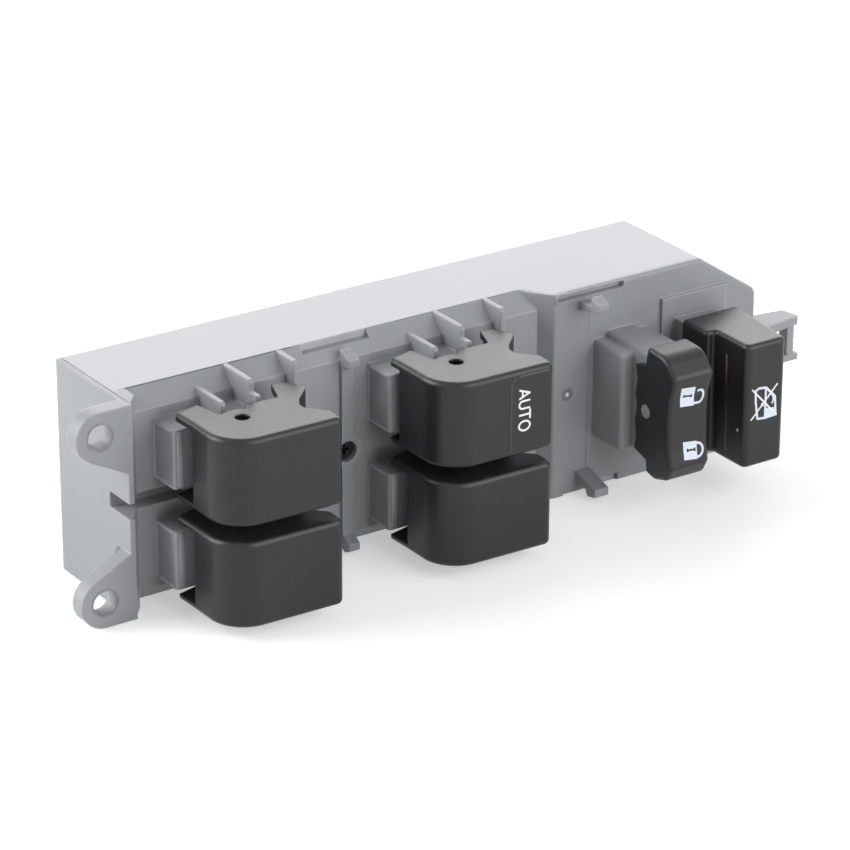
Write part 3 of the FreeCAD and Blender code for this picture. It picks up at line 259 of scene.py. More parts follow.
def moulded_grain():
    """Fine spark-eroded pits with a slow waviness: Height is two noises added, Tone a slow cloud."""
    tree, given, out = shader_group(
        "Moulded grain",
        [("Point", VECTOR, None), ("Fineness", FLOAT, 3000.0), ("Waviness", FLOAT, 0.3)],
        [("Height", FLOAT), ("Tone", FLOAT)],
    )
    point = given.outputs["Point"]
    pits = tree.noise(point, given.outputs["Fineness"], 3.0, 0.6)
    slow = tree.noise(point, 90.0, 2.0, 0.5)
    waves = tree.math("MULTIPLY", slow, given.outputs["Waviness"])
    tree.feed(out.inputs["Height"], tree.math("ADD", pits, waves))
    tree.feed(out.inputs["Tone"], tree.noise(point, 38.0, 4.0, 0.55))
    return tree.tree


def edge_rub_and_highlight():
    """Edges paler by wear and by a painted highlight: the mask is where the rounded normal leaves the true
    one, broken up by a noise. Normal is the rounded one, so that a sharp edge shades as a small radius."""
    tree, given, out = shader_group(
        "Edge rub and highlight",
        [("Point", VECTOR, None), ("Width", FLOAT, 0.0004), ("Patchiness", FLOAT, 0.5)],
        [("Mask", FLOAT), ("Normal", VECTOR)],
    )
    true = tree.node("ShaderNodeNewGeometry").outputs["Normal"]
    soft = tree.node("ShaderNodeBevel", {"Radius": given.outputs["Width"]}, samples=4).outputs["Normal"]
    turn = tree.node("ShaderNodeVectorMath", {0: true, 1: soft}, operation="DOT_PRODUCT").outputs["Value"]
    # Mask of the edges that the finishes paint paler: a painted highlight with some wear
    edge = tree.spread(turn, 0.995, 0.86)
    patch = tree.spread(tree.noise(given.outputs["Point"], 260.0, 3.0, 0.6), 0.42, 0.66)
    broken = tree.math("MULTIPLY", patch, given.outputs["Patchiness"])
    kept = tree.math("SUBTRACT", 1.0, broken, clamp=True)
    tree.feed(out.inputs["Mask"], tree.math("MULTIPLY", edge, kept, clamp=True))
    tree.feed(out.inputs["Normal"], soft)
    return tree.tree


def fine_scratches():
    """Long hair lines two ways: noises stretched a hundred to one, cut near their crests."""
    tree, given, out = shader_group(
        "Fine scratches",
        [("Point", VECTOR, None), ("Density", FLOAT, 0.5)],
        [("Mask", FLOAT)],
    )
    total = None
    for turn, scale in ((0.35, (2600.0, 60.0, 60.0)), (-0.9, (60.0, 60.0, 2100.0))):
        turned = tree.node(
            "ShaderNodeMapping", {"Vector": given.outputs["Point"], "Rotation": (0.0, turn, 0.0)}
        ).outputs["Vector"]
        lines = tree.spread(tree.noise(tree.stretched(turned, scale), 1.0, 1.0, 0.5), 0.70, 0.76)
        total = lines if total is None else tree.math("MAXIMUM", total, lines)
    zones = tree.spread(tree.noise(given.outputs["Point"], 120.0, 1.0, 0.5), 0.52, 0.66)
    thinned = tree.math("MULTIPLY", zones, given.outputs["Density"])
    tree.feed(out.inputs["Mask"], tree.math("MULTIPLY", total, thinned, clamp=True))
    return tree.tree


def settled_dust():
    """Pale specks and a thin film that gathers on upward faces: the normal's height times a noise."""
    tree, given, out = shader_group(
        "Settled dust",
        [("Point", VECTOR, None), ("Normal", VECTOR, None), ("Amount", FLOAT, 0.2)],
        [("Mask", FLOAT)],
    )
    height = tree.node("ShaderNodeSeparateXYZ", {"Vector": given.outputs["Normal"]}).outputs["Z"]
    upward = tree.spread(height, 0.2, 1.0, 0.25, 1.0)
    film = tree.spread(tree.noise(given.outputs["Point"], 420.0, 4.0, 0.7), 0.35, 0.75)
    specks = tree.spread(tree.noise(given.outputs["Point"], 2400.0, 1.0, 0.5), 0.71, 0.76)
    both = tree.math("ADD", tree.math("MULTIPLY", film, 0.35), specks)
    weighted = tree.math("MULTIPLY", both, upward)
    tree.feed(out.inputs["Mask"], tree.math("MULTIPLY", weighted, given.outputs["Amount"], clamp=True))
    return tree.tree


def brushed_lines():
    """Drawing or rolling lines along one axis: a noise stretched along it, as Height and as Tone."""
    tree, given, out = shader_group(
        "Brushed lines",
        [("Point", VECTOR, None), ("Stretch", VECTOR, (300.0, 9000.0, 9000.0))],
        [("Height", FLOAT), ("Tone", FLOAT)],
    )
    drawn = tree.node(
        "ShaderNodeVectorMath",
        {0: given.outputs["Point"], 1: given.outputs["Stretch"]},
        operation="MULTIPLY",
    ).outputs["Vector"]
    tree.feed(out.inputs["Height"], tree.noise(drawn, 1.0, 3.0, 0.6))
    tree.feed(out.inputs["Tone"], tree.noise(given.outputs["Point"], 500.0, 3.0, 0.6))
    return tree.tree


def rgba(value):
    """A colour with full alpha."""
    return (*value, 1.0)


def scaled(value, factor):
    """A colour made lighter or darker by a factor."""
    return tuple(min(1.0, part * factor) for part in value)


class Finish:
    """A material with its shader, its object point and the shared groups at hand."""

    def __init__(self, name, metallic=0.0, specular=0.5):
        self.material = bpy.data.materials.new(name)
        self.material.use_nodes = True
        self.tree = Tree(self.material.node_tree)
        self.shader = self.material.node_tree.nodes["Principled BSDF"]
        self.shader.inputs["Metallic"].default_value = metallic
        self.shader.inputs["Specular IOR Level"].default_value = specular
        coordinates = self.tree.node("ShaderNodeTexCoord")
        self.point = coordinates.outputs["Object"]
        self.normal = coordinates.outputs["Normal"]

    def group(self, name, **inputs):
        """Places a shared group and sets its inputs."""
        made = self.tree.node("ShaderNodeGroup")
        made.node_tree = bpy.data.node_groups[name]
        for label, value in inputs.items():
            self.tree.feed(made.inputs[label], value)
        return made.outputs

    def bump(self, height, depth, normal=None):
        """Feeds a height to the shader's normal, depth in metres, over another normal where one is given."""
        made = self.tree.node("ShaderNodeBump", {"Height": height, "Distance": depth})
        if normal is not None:
            self.tree.feed(made.inputs["Normal"], normal)
        self.tree.feed(self.shader.inputs["Normal"], made.outputs["Normal"])


def moulded_plastic(
    name, tone, rough, values, rub_and_highlight=0.5, pale=0.12, dust=0.12, scratch=0.0, depth=0.000012, specular=0.5
):
    """Injection moulded plastic: cloudy tone, thin dust and grain in the normal. A rub_and_highlight above
    nought rounds the edges in the shading and paints them paler by the pale value, as painted highlight and
    wear."""
    made = Finish(name, specular=specular)
    tree = made.tree
    grain = made.group("Moulded grain", Point=made.point, Fineness=1.0 / values.grain_size, Waviness=0.35)
    dusty = made.group("Settled dust", Point=made.point, Normal=made.normal, Amount=dust)["Mask"]
    cloud = tree.spread(grain["Tone"], 0.3, 0.7)
    body = tree.blend(cloud, rgba(scaled(tone, 0.94)), rgba(scaled(tone, 1.06)))
    roughness = tree.spread(grain["Tone"], 0.25, 0.75, rough * 0.9, rough * 1.12)
    normal = None
    if rub_and_highlight:
        rounded = made.group("Edge rub and highlight", Point=made.point, Width=values.rub_and_highlight_width, Patchiness=0.5)
        edge, normal = rounded["Mask"], rounded["Normal"]
        # Painted highlight with some wear: the edges' colour is lifted towards the pale value plus the tone
        body = tree.blend(tree.math("MULTIPLY", edge, rub_and_highlight), body, rgba([pale + 0.9 * part for part in tone]))
        roughness = tree.math("SUBTRACT", roughness, tree.math("MULTIPLY", edge, 0.08))
    veiled = tree.blend(dusty, body, rgba(DUST_COLOUR))
    if scratch:
        hair = made.group("Fine scratches", Point=made.point, Density=scratch)["Mask"]
        veiled = tree.blend(tree.math("MULTIPLY", hair, 0.12), veiled, rgba(SCRATCH_COLOUR))
        roughness = tree.math("ADD", roughness, tree.math("MULTIPLY", hair, 0.15))
    roughness = tree.math("ADD", roughness, tree.math("MULTIPLY", dusty, 0.3), clamp=True)
    tree.feed(made.shader.inputs["Base Color"], veiled)
    tree.feed(made.shader.inputs["Roughness"], roughness)
    made.bump(grain["Height"], depth, normal)
    return made.material


def drawn_metal(name, tone, rough, stretch, tarnish=0.25):
    """Drawn, rolled or plated metal: lines along one axis and a slow tarnish."""
    made = Finish(name, metallic=1.0)
    tree = made.tree
    lines = made.group("Brushed lines", Point=made.point, Stretch=stretch)
    dull = tree.spread(lines["Tone"], 0.4, 0.75, 0.0, tarnish)
    tree.feed(made.shader.inputs["Base Color"], tree.blend(dull, rgba(tone), rgba(scaled(tone, 0.55))))
    tree.feed(made.shader.inputs["Roughness"], tree.spread(lines["Tone"], 0.3, 0.7, rough, rough + 0.15))
    made.bump(lines["Height"], 0.000008)
    return made.material


def lacquered_board(tone):
    """Circuit board: lacquer over copper tracks, a brick pattern kept in the patches of a noise."""
    made = Finish("Lacquered board", specular=0.6)
    tree = made.tree
    bricks = tree.node(
        "ShaderNodeTexBrick",
        {"Vector": made.point, "Scale": 260.0, "Mortar Size": 0.16, "Mortar Smooth": 0.1},
        offset=0.37,
        squash=1.6,
        squash_frequency=3,
    ).outputs["Fac"]
    zones = tree.spread(tree.noise(made.point, 130.0, 0.0), 0.48, 0.50)
    track = tree.math("MULTIPLY", bricks, zones)
    cloud = tree.spread(tree.noise(made.point, 60.0), 0.3, 0.7)
    base = tree.blend(cloud, rgba(scaled(tone, 0.85)), rgba(scaled(tone, 1.15)))
    tree.feed(made.shader.inputs["Base Color"], tree.blend(track, base, rgba(TRACK_COLOUR)))
    tree.feed(made.shader.inputs["Roughness"], tree.spread(cloud, 0.0, 1.0, 0.22, 0.34))
    made.bump(track, 0.00003)
    return made.material


def clear_lens(tone):
    """Amber lens: slightly see-through plastic with a cloudy depth."""
    made = Finish("Amber lens")
    tree = made.tree
    cloud = tree.spread(tree.noise(made.point, 700.0), 0.3, 0.7)
    tree.feed(made.shader.inputs["Base Color"], tree.blend(cloud, rgba(tone), rgba(scaled(tone, 0.8))))
    tree.feed(made.shader.inputs["Roughness"], tree.spread(cloud, 0.0, 1.0, 0.12, 0.22))
    made.shader.inputs["Subsurface Weight"].default_value = 0.25
    made.shader.inputs["Subsurface Scale"].default_value = 0.001
    made.bump(cloud, 0.00001)
    return made.material


def printed_ink(name, tone, worn):
    """Pad-printed ink: a slightly uneven film with a few worn pinholes."""
    made = Finish(name)
    tree = made.tree
    cloud = tree.spread(tree.noise(made.point, 900.0, 3.0, 0.6), 0.3, 0.7)
    holes = tree.spread(tree.noise(made.point, 3200.0, 1.0), 0.70, 0.78, 0.0, worn)
    ink = tree.blend(cloud, rgba(scaled(tone, 0.93)), rgba(tone))
    tree.feed(made.shader.inputs["Base Color"], tree.blend(holes, ink, rgba(BARE_KEY_COLOUR)))
    tree.feed(made.shader.inputs["Roughness"], tree.spread(cloud, 0.0, 1.0, 0.42, 0.55))
    made.bump(cloud, 0.000008)
    return made.material


def dress(material, nodes):
    """Puts one material into every slot of the named CAD objects."""
    for name in nodes:
        mesh_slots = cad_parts[name].material_slots
        for held in mesh_slots:
            held.link = "OBJECT"
            held.material = material
        if not mesh_slots:
            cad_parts[name].data.materials.append(material)


# Surfaces

# A triangle with less flat area than this is seen edge-on, and a point this little outside a triangle
# still lies in it
LEAST_AREA = 1e-14
SLACK = 1e-6


def front_height(node, x, z):
    """How far forward a CAD node reaches at points (x, z): for every triangle that holds the point in the
    flat view from the front, its height is the weighted mean of its corners; the foremost one is kept."""
    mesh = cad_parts[node].data
    corners = np.zeros(len(mesh.vertices) * 3, np.float32)
    mesh.vertices.foreach_get("co", corners)
    corners = corners.reshape(-1, 3).astype(float)
    mesh.calc_loop_triangles()
    index = np.zeros(len(mesh.loop_triangles) * 3, np.int32)
    mesh.loop_triangles.foreach_get("vertices", index)
    a, b, c = (corners[index.reshape(-1, 3)[:, k]] for k in range(3))
    most, least = np.maximum(np.maximum(a, b), c), np.minimum(np.minimum(a, b), c)
    near = (most[:, 0] >= x.min()) & (least[:, 0] <= x.max())
    near &= (most[:, 2] >= z.min()) & (least[:, 2] <= z.max())
    a, b, c = a[near], b[near], c[near]
    area = (b[:, 0] - a[:, 0]) * (c[:, 2] - a[:, 2]) - (c[:, 0] - a[:, 0]) * (b[:, 2] - a[:, 2])
    flat = np.abs(area) > LEAST_AREA
    a, b, c, area = a[flat], b[flat], c[flat], area[flat]
    px, pz = x.ravel()[:, None], z.ravel()[:, None]
    v = ((px - a[:, 0]) * (c[:, 2] - a[:, 2]) - (c[:, 0] - a[:, 0]) * (pz - a[:, 2])) / area
    w = ((b[:, 0] - a[:, 0]) * (pz - a[:, 2]) - (px - a[:, 0]) * (b[:, 2] - a[:, 2])) / area
    inside = (v >= -SLACK) & (w >= -SLACK) & (v + w <= 1 + SLACK)
    depth = np.where(inside, a[:, 1] + v * (b[:, 1] - a[:, 1]) + w * (c[:, 1] - a[:, 1]), np.inf)
    found = depth.min(axis=1)
    if not np.isfinite(found).all():
        raise RuntimeError(f"a mark reaches past the edge of {node}")
    return found.reshape(x.shape)


def make_object(name, points, faces, materials, body, slot, smooth=True):
    """A finished piece with its place in its mesh, riding on a CAD body; the slot is not used."""
    mesh = bpy.data.meshes.new(name)
    mesh.from_pydata(points.reshape(-1, 3).tolist(), [], faces)
    mesh.polygons.foreach_set("use_smooth", np.full(len(mesh.polygons), smooth))
    mesh.update()
    for material in materials:
        mesh.materials.append(material)
    made = bpy.data.objects.new(name, mesh)
    bpy.context.scene.collection.objects.link(made)
    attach(made, body)
    return made


def grid_faces(rows, columns, start=0):
    """The quads of a grid of points, wound along rows and then columns."""
    first = (np.arange(rows - 1)[:, None] * columns + np.arange(columns - 1)).ravel() + start
    return np.stack([first, first + 1, first + columns + 1, first + columns], axis=1)


def rim_faces(rows, columns, start, below):
    """The quads that join the rim of a grid to the same rim of its copy, below points later."""
    top = np.arange(columns)
    bottom = (rows - 1) * columns + top[::-1]
    right = (np.arange(1, rows - 1) + 1) * columns - 1
    left = (np.arange(rows - 2, 0, -1)) * columns
    rim = np.concatenate([top, right, bottom, left]) + start
    following = np.roll(rim, -1)
    return np.stack([rim, rim + below, following + below, following], axis=1)


class Print:
    """A set of thin closed pads laid on a CAD surface, gathered into one mesh."""

    def __init__(self, node, thickness):
        self.node = node
        self.thickness = thickness
        self.points = []
        self.faces = []
        self.inks = []
        self.count = 0

    def lay(self, x, z, proud=0.0, ink=0):
        """One pad over a grid of (x, z) points: the surface's own height less the thickness, and a copy sunk
        below it, joined along the rim."""
        rows, columns = x.shape
        y = front_height(self.node, x, z)
        over = np.stack([x, y - self.thickness - proud, z], axis=-1).reshape(-1, 3)
        under = np.stack([x, y + 2 * self.thickness, z], axis=-1).reshape(-1, 3)
        top = grid_faces(rows, columns, self.count)
        size = rows * columns
        faces = np.concatenate([top, top[:, ::-1] + size, rim_faces(rows, columns, self.count, size)])
        rows_x, columns_x = np.gradient(x)
        rows_z, columns_z = np.gradient(z)
        if (rows_x * columns_z - rows_z * columns_x).mean() > 0:
            faces = faces[:, ::-1]
        self.points += [over, under]
        self.faces += faces.tolist()
        self.inks += [ink] * len(faces)
        self.count += 2 * size

    def stroke(self, path, width, proud=0.0, ink=0, closed=False, step=0.00012):
        """A stroke of even width: points along the path, each moved half the width to both sides across the
        path's direction, which is the mean of the directions before and after it."""
        line = resampled(np.asarray(path, float), step, closed)
        step_on = np.diff(line, axis=0)
        ahead = np.concatenate([step_on, step_on[:1] if closed else step_on[-1:]])
        behind = np.concatenate([step_on[-1:] if closed else step_on[:1], step_on])
        along = ahead / norm(ahead) + behind / norm(behind)
        across = np.stack([-along[:, 1], along[:, 0]], axis=1) / norm(along)
        side = np.linspace(-0.5, 0.5, 5) * width
        grid = line[:, None, :] + across[:, None, :] * side[None, :, None]
        self.lay(grid[..., 0], grid[..., 1], proud, ink)

    def patch(self, corners, proud=0.0, ink=0, count=22):
        """A filled four-sided patch: the blend of its four corners over two parameters from 0 to 1."""
        p = np.asarray(corners, float)
        u, v = np.meshgrid(np.linspace(0, 1, count), np.linspace(0, 1, count), indexing="ij")
        u, v = u[..., None], v[..., None]
        grid = (1 - u) * (1 - v) * p[0] + u * (1 - v) * p[1] + u * v * p[2] + (1 - u) * v * p[3]
        self.lay(grid[..., 0], grid[..., 1], proud, ink)

    def finish(self, name, inks, body, slot):
        """The gathered pads as one piece."""
        made = make_object(name, np.concatenate(self.points), self.faces, inks, body, slot, smooth=False)
        made.data.polygons.foreach_set("material_index", np.array(self.inks))
        made.data.update()
        return made


def bead(path, outward, width, height, closed=False, sunk=0.00005, sides=8):
    """Points and faces of a bead on a flat face: at each path point a half ellipse of the width and height,
    across the path and outward, whose foot is sunk a little; the section is carried along the path."""
    line = np.asarray(path, float)
    out = np.asarray(outward, float)
    step_on = np.diff(np.concatenate([line, line[:1]]) if closed else line, axis=0)
    ahead = step_on if closed else np.concatenate([step_on, step_on[-1:]])
    behind = np.roll(step_on, 1, axis=0) if closed else np.concatenate([step_on[:1], step_on])
    first, second = ahead / norm(ahead), behind / norm(behind)
    along = (first + second) / norm(first + second)
    across = np.cross(along, out)
    across = across / (norm(across) * np.maximum(0.5, (along * first).sum(1, keepdims=True)))
    turn = np.linspace(0, np.pi, sides)
    sideways = np.concatenate([[0.5], 0.5 * np.cos(turn), [-0.5]]) * width
    up = np.concatenate([[-sunk], np.sin(turn) * height, [-sunk]])
    points = line[:, None] + across[:, None] * sideways[None, :, None] + out * up[None, :, None]
    rows, columns = points.shape[:2]
    ring = np.arange(columns)
    starts = np.arange(rows if closed else rows - 1)[:, None] * columns
    after = (starts + columns) % (rows * columns)
    following = np.roll(ring, -1)
    faces = np.stack([after + ring, after + following, starts + following, starts + ring], axis=-1)
    faces = faces.reshape(-1, 4).tolist()
    if not closed:
        faces += [ring.tolist(), (ring[::-1] + (rows - 1) * columns).tolist()]
    return points.reshape(-1, 3), faces


def turned(centre, outward, profile, sides=40):
    """Points and faces of a round form: the profile's pairs of radius and height, turned about the outward
    axis. It begins on the axis and ends at the sunk rim, which a flat face closes."""
    out = np.asarray(outward, float)
    across = np.cross(out, [0.0, 0.0, 1.0])
    over = np.cross(out, across)
    angle = np.linspace(0, 2 * np.pi, sides + 1)[:-1]
    circle = np.cos(angle)[:, None] * across + np.sin(angle)[:, None] * over
    shape = np.asarray(profile, float)
    rings = np.asarray(centre, float) + shape[1:, 0][:, None, None] * circle[None]
    rings = rings + shape[1:, 1][:, None, None] * out
    top = np.asarray(centre, float) + shape[0, 1] * out
    points = np.concatenate([rings.reshape(-1, 3), [top]])
    rows = len(shape) - 1
    ring = np.arange(sides)
    following = np.roll(ring, -1)
    starts = np.arange(rows - 1)[:, None] * sides
    after = starts + sides
    faces = np.stack([starts + ring, after + ring, after + following, starts + following], axis=-1)
    faces = faces.reshape(-1, 4).tolist()
    faces += np.stack([np.full(sides, len(points) - 1), ring, following], axis=1).tolist()
    faces.append(((rows - 1) * sides + ring[::-1]).tolist())
    return points, faces


def fin(outline, low, high):
    """Points and faces of an upright prism: the corners of a flat outline at two heights."""
    flat = np.asarray(outline, float)
    count = len(flat)
    points = np.concatenate([np.column_stack([flat, np.full(count, level)]) for level in (low, high)]) * MM
    k = np.arange(count)
    sides = np.stack([k, np.roll(k, -1), np.roll(k, -1) + count, k + count], axis=1).tolist()
    return points, sides + [k[::-1].tolist(), (k + count).tolist()]


def gathered(parts):
    """Several sets of points and faces as one."""
    points, faces, count = [], [], 0
    for some_points, some_faces in parts:
        points.append(some_points)
        faces += [[corner + count for corner in face] for face in some_faces]
        count += len(some_points)
    return np.concatenate(points), faces


def norm(vectors):
    """Lengths of rows of vectors, as a column."""
    return np.linalg.norm(vectors, axis=-1, keepdims=True)


def resampled(path, step, closed):
    """Points at even steps along a path of straight runs."""
    if closed:
        path = np.concatenate([path, path[:1]])
    run = np.concatenate([[0.0], np.cumsum(np.linalg.norm(np.diff(path, axis=0), axis=1))])
    count = max(4, int(run[-1] / step) + 1)
    at = np.linspace(0, run[-1], count)
    return np.stack([np.interp(at, run, path[:, k]) for k in range(2)], axis=1)


def arc(centre, radii, start, end, count=40):
    """Points of an ellipse's arc: the centre plus the radii times cosine and sine, in degrees."""
    turn = np.radians(np.linspace(start, end, count))
    return np.stack([centre[0] + radii[0] * np.cos(turn), centre[1] + radii[1] * np.sin(turn)], axis=1)


def circle(centre, radius, count=40):
    """Points of a whole circle: an arc that stops one step short of its start."""
    return arc(centre, (radius, radius), 0, 360 - 360 / count, count)


def flat_path(points, face, level):
    """Points in millimetres on a flat face, as places in metres: on a front face they are x and z at y, on a
    top face x and y at z, and on a left face y and z at x."""
    first, second = np.asarray(points, float).T
    third = np.full_like(first, level)
    order = {"front": (first, third, second), "top": (first, second, third), "left": (third, first, second)}
    return np.stack(order[face], axis=1) * MM


def flat_bead(points, face, level, width, height, closed=False):
    """A bead along points in millimetres on a flat face."""
    return bead(flat_path(points, face, level), OUTWARD[face], width, height, closed)


def joined(*parts):
    """Runs of points joined end to end."""
    return np.concatenate([np.asarray(part, float).reshape(-1, 2) for part in parts])


# Operators


class SWITCH_OT_groups(bpy.types.Operator):
    """Builds the shader groups that the finishes share"""

    bl_idname = "window_switch.groups"
    bl_label = "Shared finishes"

    def execute(self, context):
        for build in (moulded_grain, edge_rub_and_highlight, fine_scratches, settled_dust, brushed_lines):
            build()
        return {"FINISHED"}


class SWITCH_OT_case(bpy.types.Operator):
    """Finishes the front case and the rear cover"""

    bl_idname = "window_switch.case"
    bl_label = "Case and cover"

    def execute(self, context):
        values = settings(context)[0]
        # The case's and the cover's edges are painted paler: a painted highlight with some wear
        case = moulded_plastic(
            "Grey moulding", values.case_colour, values.case_rough, values, rub_and_highlight=0.7, pale=0.30, dust=0.10
        )
        cover = moulded_plastic(
            "Pale moulding",
            values.cover_colour,
            values.case_rough,
            values,
            rub_and_highlight=0.3,
            pale=0.25,
            depth=20 * MICRON,
        )
        dress(case, ["front_case"])
        dress(cover, ["rear_cover"])
        return {"FINISHED"}


class SWITCH_OT_keys(bpy.types.Operator):
    """Finishes the four knobs, the lock rocker and the lock-out button"""

    bl_idname = "window_switch.keys"
    bl_label = "Keys"

    def execute(self, context):
        values = settings(context)[0]
        # The keys' edges are painted a little paler: a painted highlight
        black = moulded_plastic(
            "Satin black moulding",
            values.key_colour,
            values.key_rough,
            values,
            rub_and_highlight=0.16,
            dust=0.06,
            scratch=0.35,
            depth=9 * MICRON,
            specular=0.42,
        )
        dress(black, [key + "_window_knob" for key in KEYS] + ["lock_rocker", "lockout_button"])
        return {"FINISHED"}


class SWITCH_OT_insides(bpy.types.Operator):
    """Finishes the sliders, springs, contacts, board and connector"""

    bl_idname = "window_switch.insides"
    bl_label = "Inner parts"

    def execute(self, context):
        values = settings(context)[0]
        natural = moulded_plastic("Natural slider", values.slider_colour, 0.38, values, rub_and_highlight=0.1, dust=0.03)
        sliders = [key + "_plunger" for key in KEYS] + [key + "_contact_slider" for key in KEYS]
        dress(natural, sliders + ["lock_plunger", "lock_contact_slider", "lockout_plunger"])
        wire = drawn_metal("Spring wire", values.spring_colour, 0.24, (300.0, 300.0, 9000.0))
        dress(wire, [key + "_spring" for key in KEYS] + ["lock_spring", "lockout_spring"])
        brass = drawn_metal("Rolled brass", values.brass_colour, 0.28, (200.0, 9000.0, 9000.0), 0.4)
        dress(brass, [key + "_contact_plate" for key in KEYS] + ["lock_contact_plate"])
        tinned = drawn_metal("Tinned pins", values.pin_colour, 0.2, (9000.0, 400.0, 9000.0))
        dress(tinned, ["connector_pins"])
        plated = drawn_metal("Dark plated screws", values.screw_colour, 0.34, (6000.0, 500.0, 6000.0), 0.5)
        dress(plated, ["case_screw", "board_screws"])
        housing = moulded_plastic("Black housing", values.housing_colour, 0.45, values, rub_and_highlight=0.2, dust=0.08)
        dress(housing, ["connector_housing", "lockout_switch", "control_chip", "relay_up", "relay_down"])
        dress(lacquered_board(values.board_colour), ["circuit_board"])
        dress(clear_lens(values.lamp_colour), ["indicator_lamps"])
        return {"FINISHED"}


class SWITCH_OT_lettering(bpy.types.Operator):
    """Prints the word on the front driver's knob, read from the top down"""

    bl_idname = "window_switch.lettering"
    bl_label = "Lettering"

    def execute(self, context):
        values, marks, _ = settings(context)
        made = Print("front_driver_window_knob", marks.print_depth)
        # In metres: x of the letters' feet, and z where the word starts
        foot, start = 0.0905, 0.0173
        # The strokes of the four letters: millimetres down from the start, and shares of the letter height
        strokes = [
            [(0.15, 0.0), (1.27, 1.0)],
            [(1.13, 1.0), (2.25, 0.0)],
            [(0.5, 0.3), (1.9, 0.3)],
            joined([(2.9, 1.0)], arc((3.78, 0.3), (0.88, 0.28), 180, 360), [(4.66, 1.0)]),
            [(5.0, 1.0), (7.3, 1.0)],
            [(6.15, 1.0), (6.15, 0.0)],
            arc((8.75, 0.5), (1.1, 0.5), 0, 360)[:-1],
        ]
        for order, stroke in enumerate(strokes):
            along, up = np.asarray(stroke, float).T
            path = np.stack([foot + up * marks.letter_height, start - along * MM], axis=1)
            closed = order == len(strokes) - 1
            made.stroke(path, marks.letter_stroke, proud=2 * order * MICRON, closed=closed)
        ink = printed_ink("White lettering", values.bright_colour, 0.35)
        made.finish("lettering_auto", [ink], "front_driver_knob", "slider_white")
        return {"FINISHED"}


class SWITCH_OT_padlocks(bpy.types.Operator):
    """Prints the open and the closed padlock on the lock rocker"""

    bl_idname = "window_switch.padlocks"
    bl_label = "Padlocks"

    def execute(self, context):
        values, marks, _ = settings(context)
        inks = [
            printed_ink("Bluish print", values.print_colour, 0.3),
            bpy.data.materials["Satin black moulding"],
        ]
        # The strokes and half a tick's length are in metres, and the inset is a share of the bar
        bar_stroke, tick_stroke, tick_half, tick_inset = 0.00046, 0.00038, 0.00042, 0.03
        # The body's corners, the shackle's path and the keyhole's bar, as x and z in millimetres
        for name, body, shackle, keyhole in (
            (
                "padlock_open",
                [(132.8, 8.5), (136.85, 8.0), (137.2, 3.05), (133.35, 3.5)],
                joined([(136.9, 3.65)], arc((138.35, 5.15), (1.3, 1.62), -100, 118)),
                [(134.0, 6.1), (136.3, 5.7)],
            ),
            (
                "padlock_closed",
                [(134.44, -5.3), (138.2, -5.77), (138.15, -9.96), (134.49, -9.5)],
                joined([(137.9, -6.3)], arc((138.35, -7.9), (1.45, 1.58), 88, -88), [(137.9, -9.45)]),
                [(135.5, -7.45), (137.7, -7.65)],
            ),
        ):
            made = Print("lock_rocker", marks.print_depth)
            made.patch(np.array(body) * MM)
            made.stroke(shackle * MM, marks.shackle_stroke, proud=3 * MICRON)
            bar = np.array(keyhole) * MM
            made.stroke(bar, bar_stroke, proud=10 * MICRON, ink=1)
            inset = (bar[1] - bar[0]) * tick_inset
            for end in (bar[0] + inset, bar[1] - inset):
                tick = np.array([end - (0, tick_half), end + (0, tick_half)])
                made.stroke(tick, tick_stroke, proud=14 * MICRON, ink=1)
            made.finish(name, inks, "lock_key", "slider_white")
        return {"FINISHED"}


class SWITCH_OT_glass_mark(bpy.types.Operator):
    """Prints the crossed-out door glass on the lock-out button"""

    bl_idname = "window_switch.glass_mark"
    bl_label = "Door glass mark"

    def execute(self, context):
        values, marks, _ = settings(context)
        made = Print("lockout_button", marks.print_depth)
        handle_stroke = 0.00042
        # All points are x and z in millimetres
        outline = np.array(
            [(155.0, -4.3), (154.35, 0.0), (154.25, 2.7), (155.2, 3.15), (157.2, 2.9), (159.85, 0.15),
             (160.25, -4.4), (157.2, -4.55)]
        )
        made.stroke(outline * MM, marks.outline_stroke, closed=True)
        post = np.array([(157.15, 2.8), (157.15, -4.4)])
        made.stroke(post * MM, marks.outline_stroke, proud=3 * MICRON)
        sill = np.array([(157.15, -2.2), (160.0, -2.5), (160.25, -4.45), (157.15, -4.6)])
        made.patch(sill * MM, proud=5 * MICRON)
        handle = joined([(157.7, 0.2)], arc((158.5, -0.3), (0.9, 1.3), 120, -60, 12))
        made.stroke(handle * MM, handle_stroke, proud=7 * MICRON)
        for order, ends in enumerate(([(153.21, 3.23), (160.56, -4.59)], [(160.48, 3.21), (153.12, -4.32)])):
            made.stroke(np.array(ends) * MM, marks.cross_stroke, proud=(10 + 3 * order) * MICRON, ink=1)
        knot = np.array([(156.0, -0.6), (156.75, -0.8), (156.6, -1.6), (155.85, -1.4)])
        made.patch(knot * MM, proud=16 * MICRON, ink=1)
        inks = [bpy.data.materials["Bluish print"], bpy.data.materials["White lettering"]]
        made.finish("door_glass_mark", inks, "lockout_key", "slider_white")
        return {"FINISHED"}


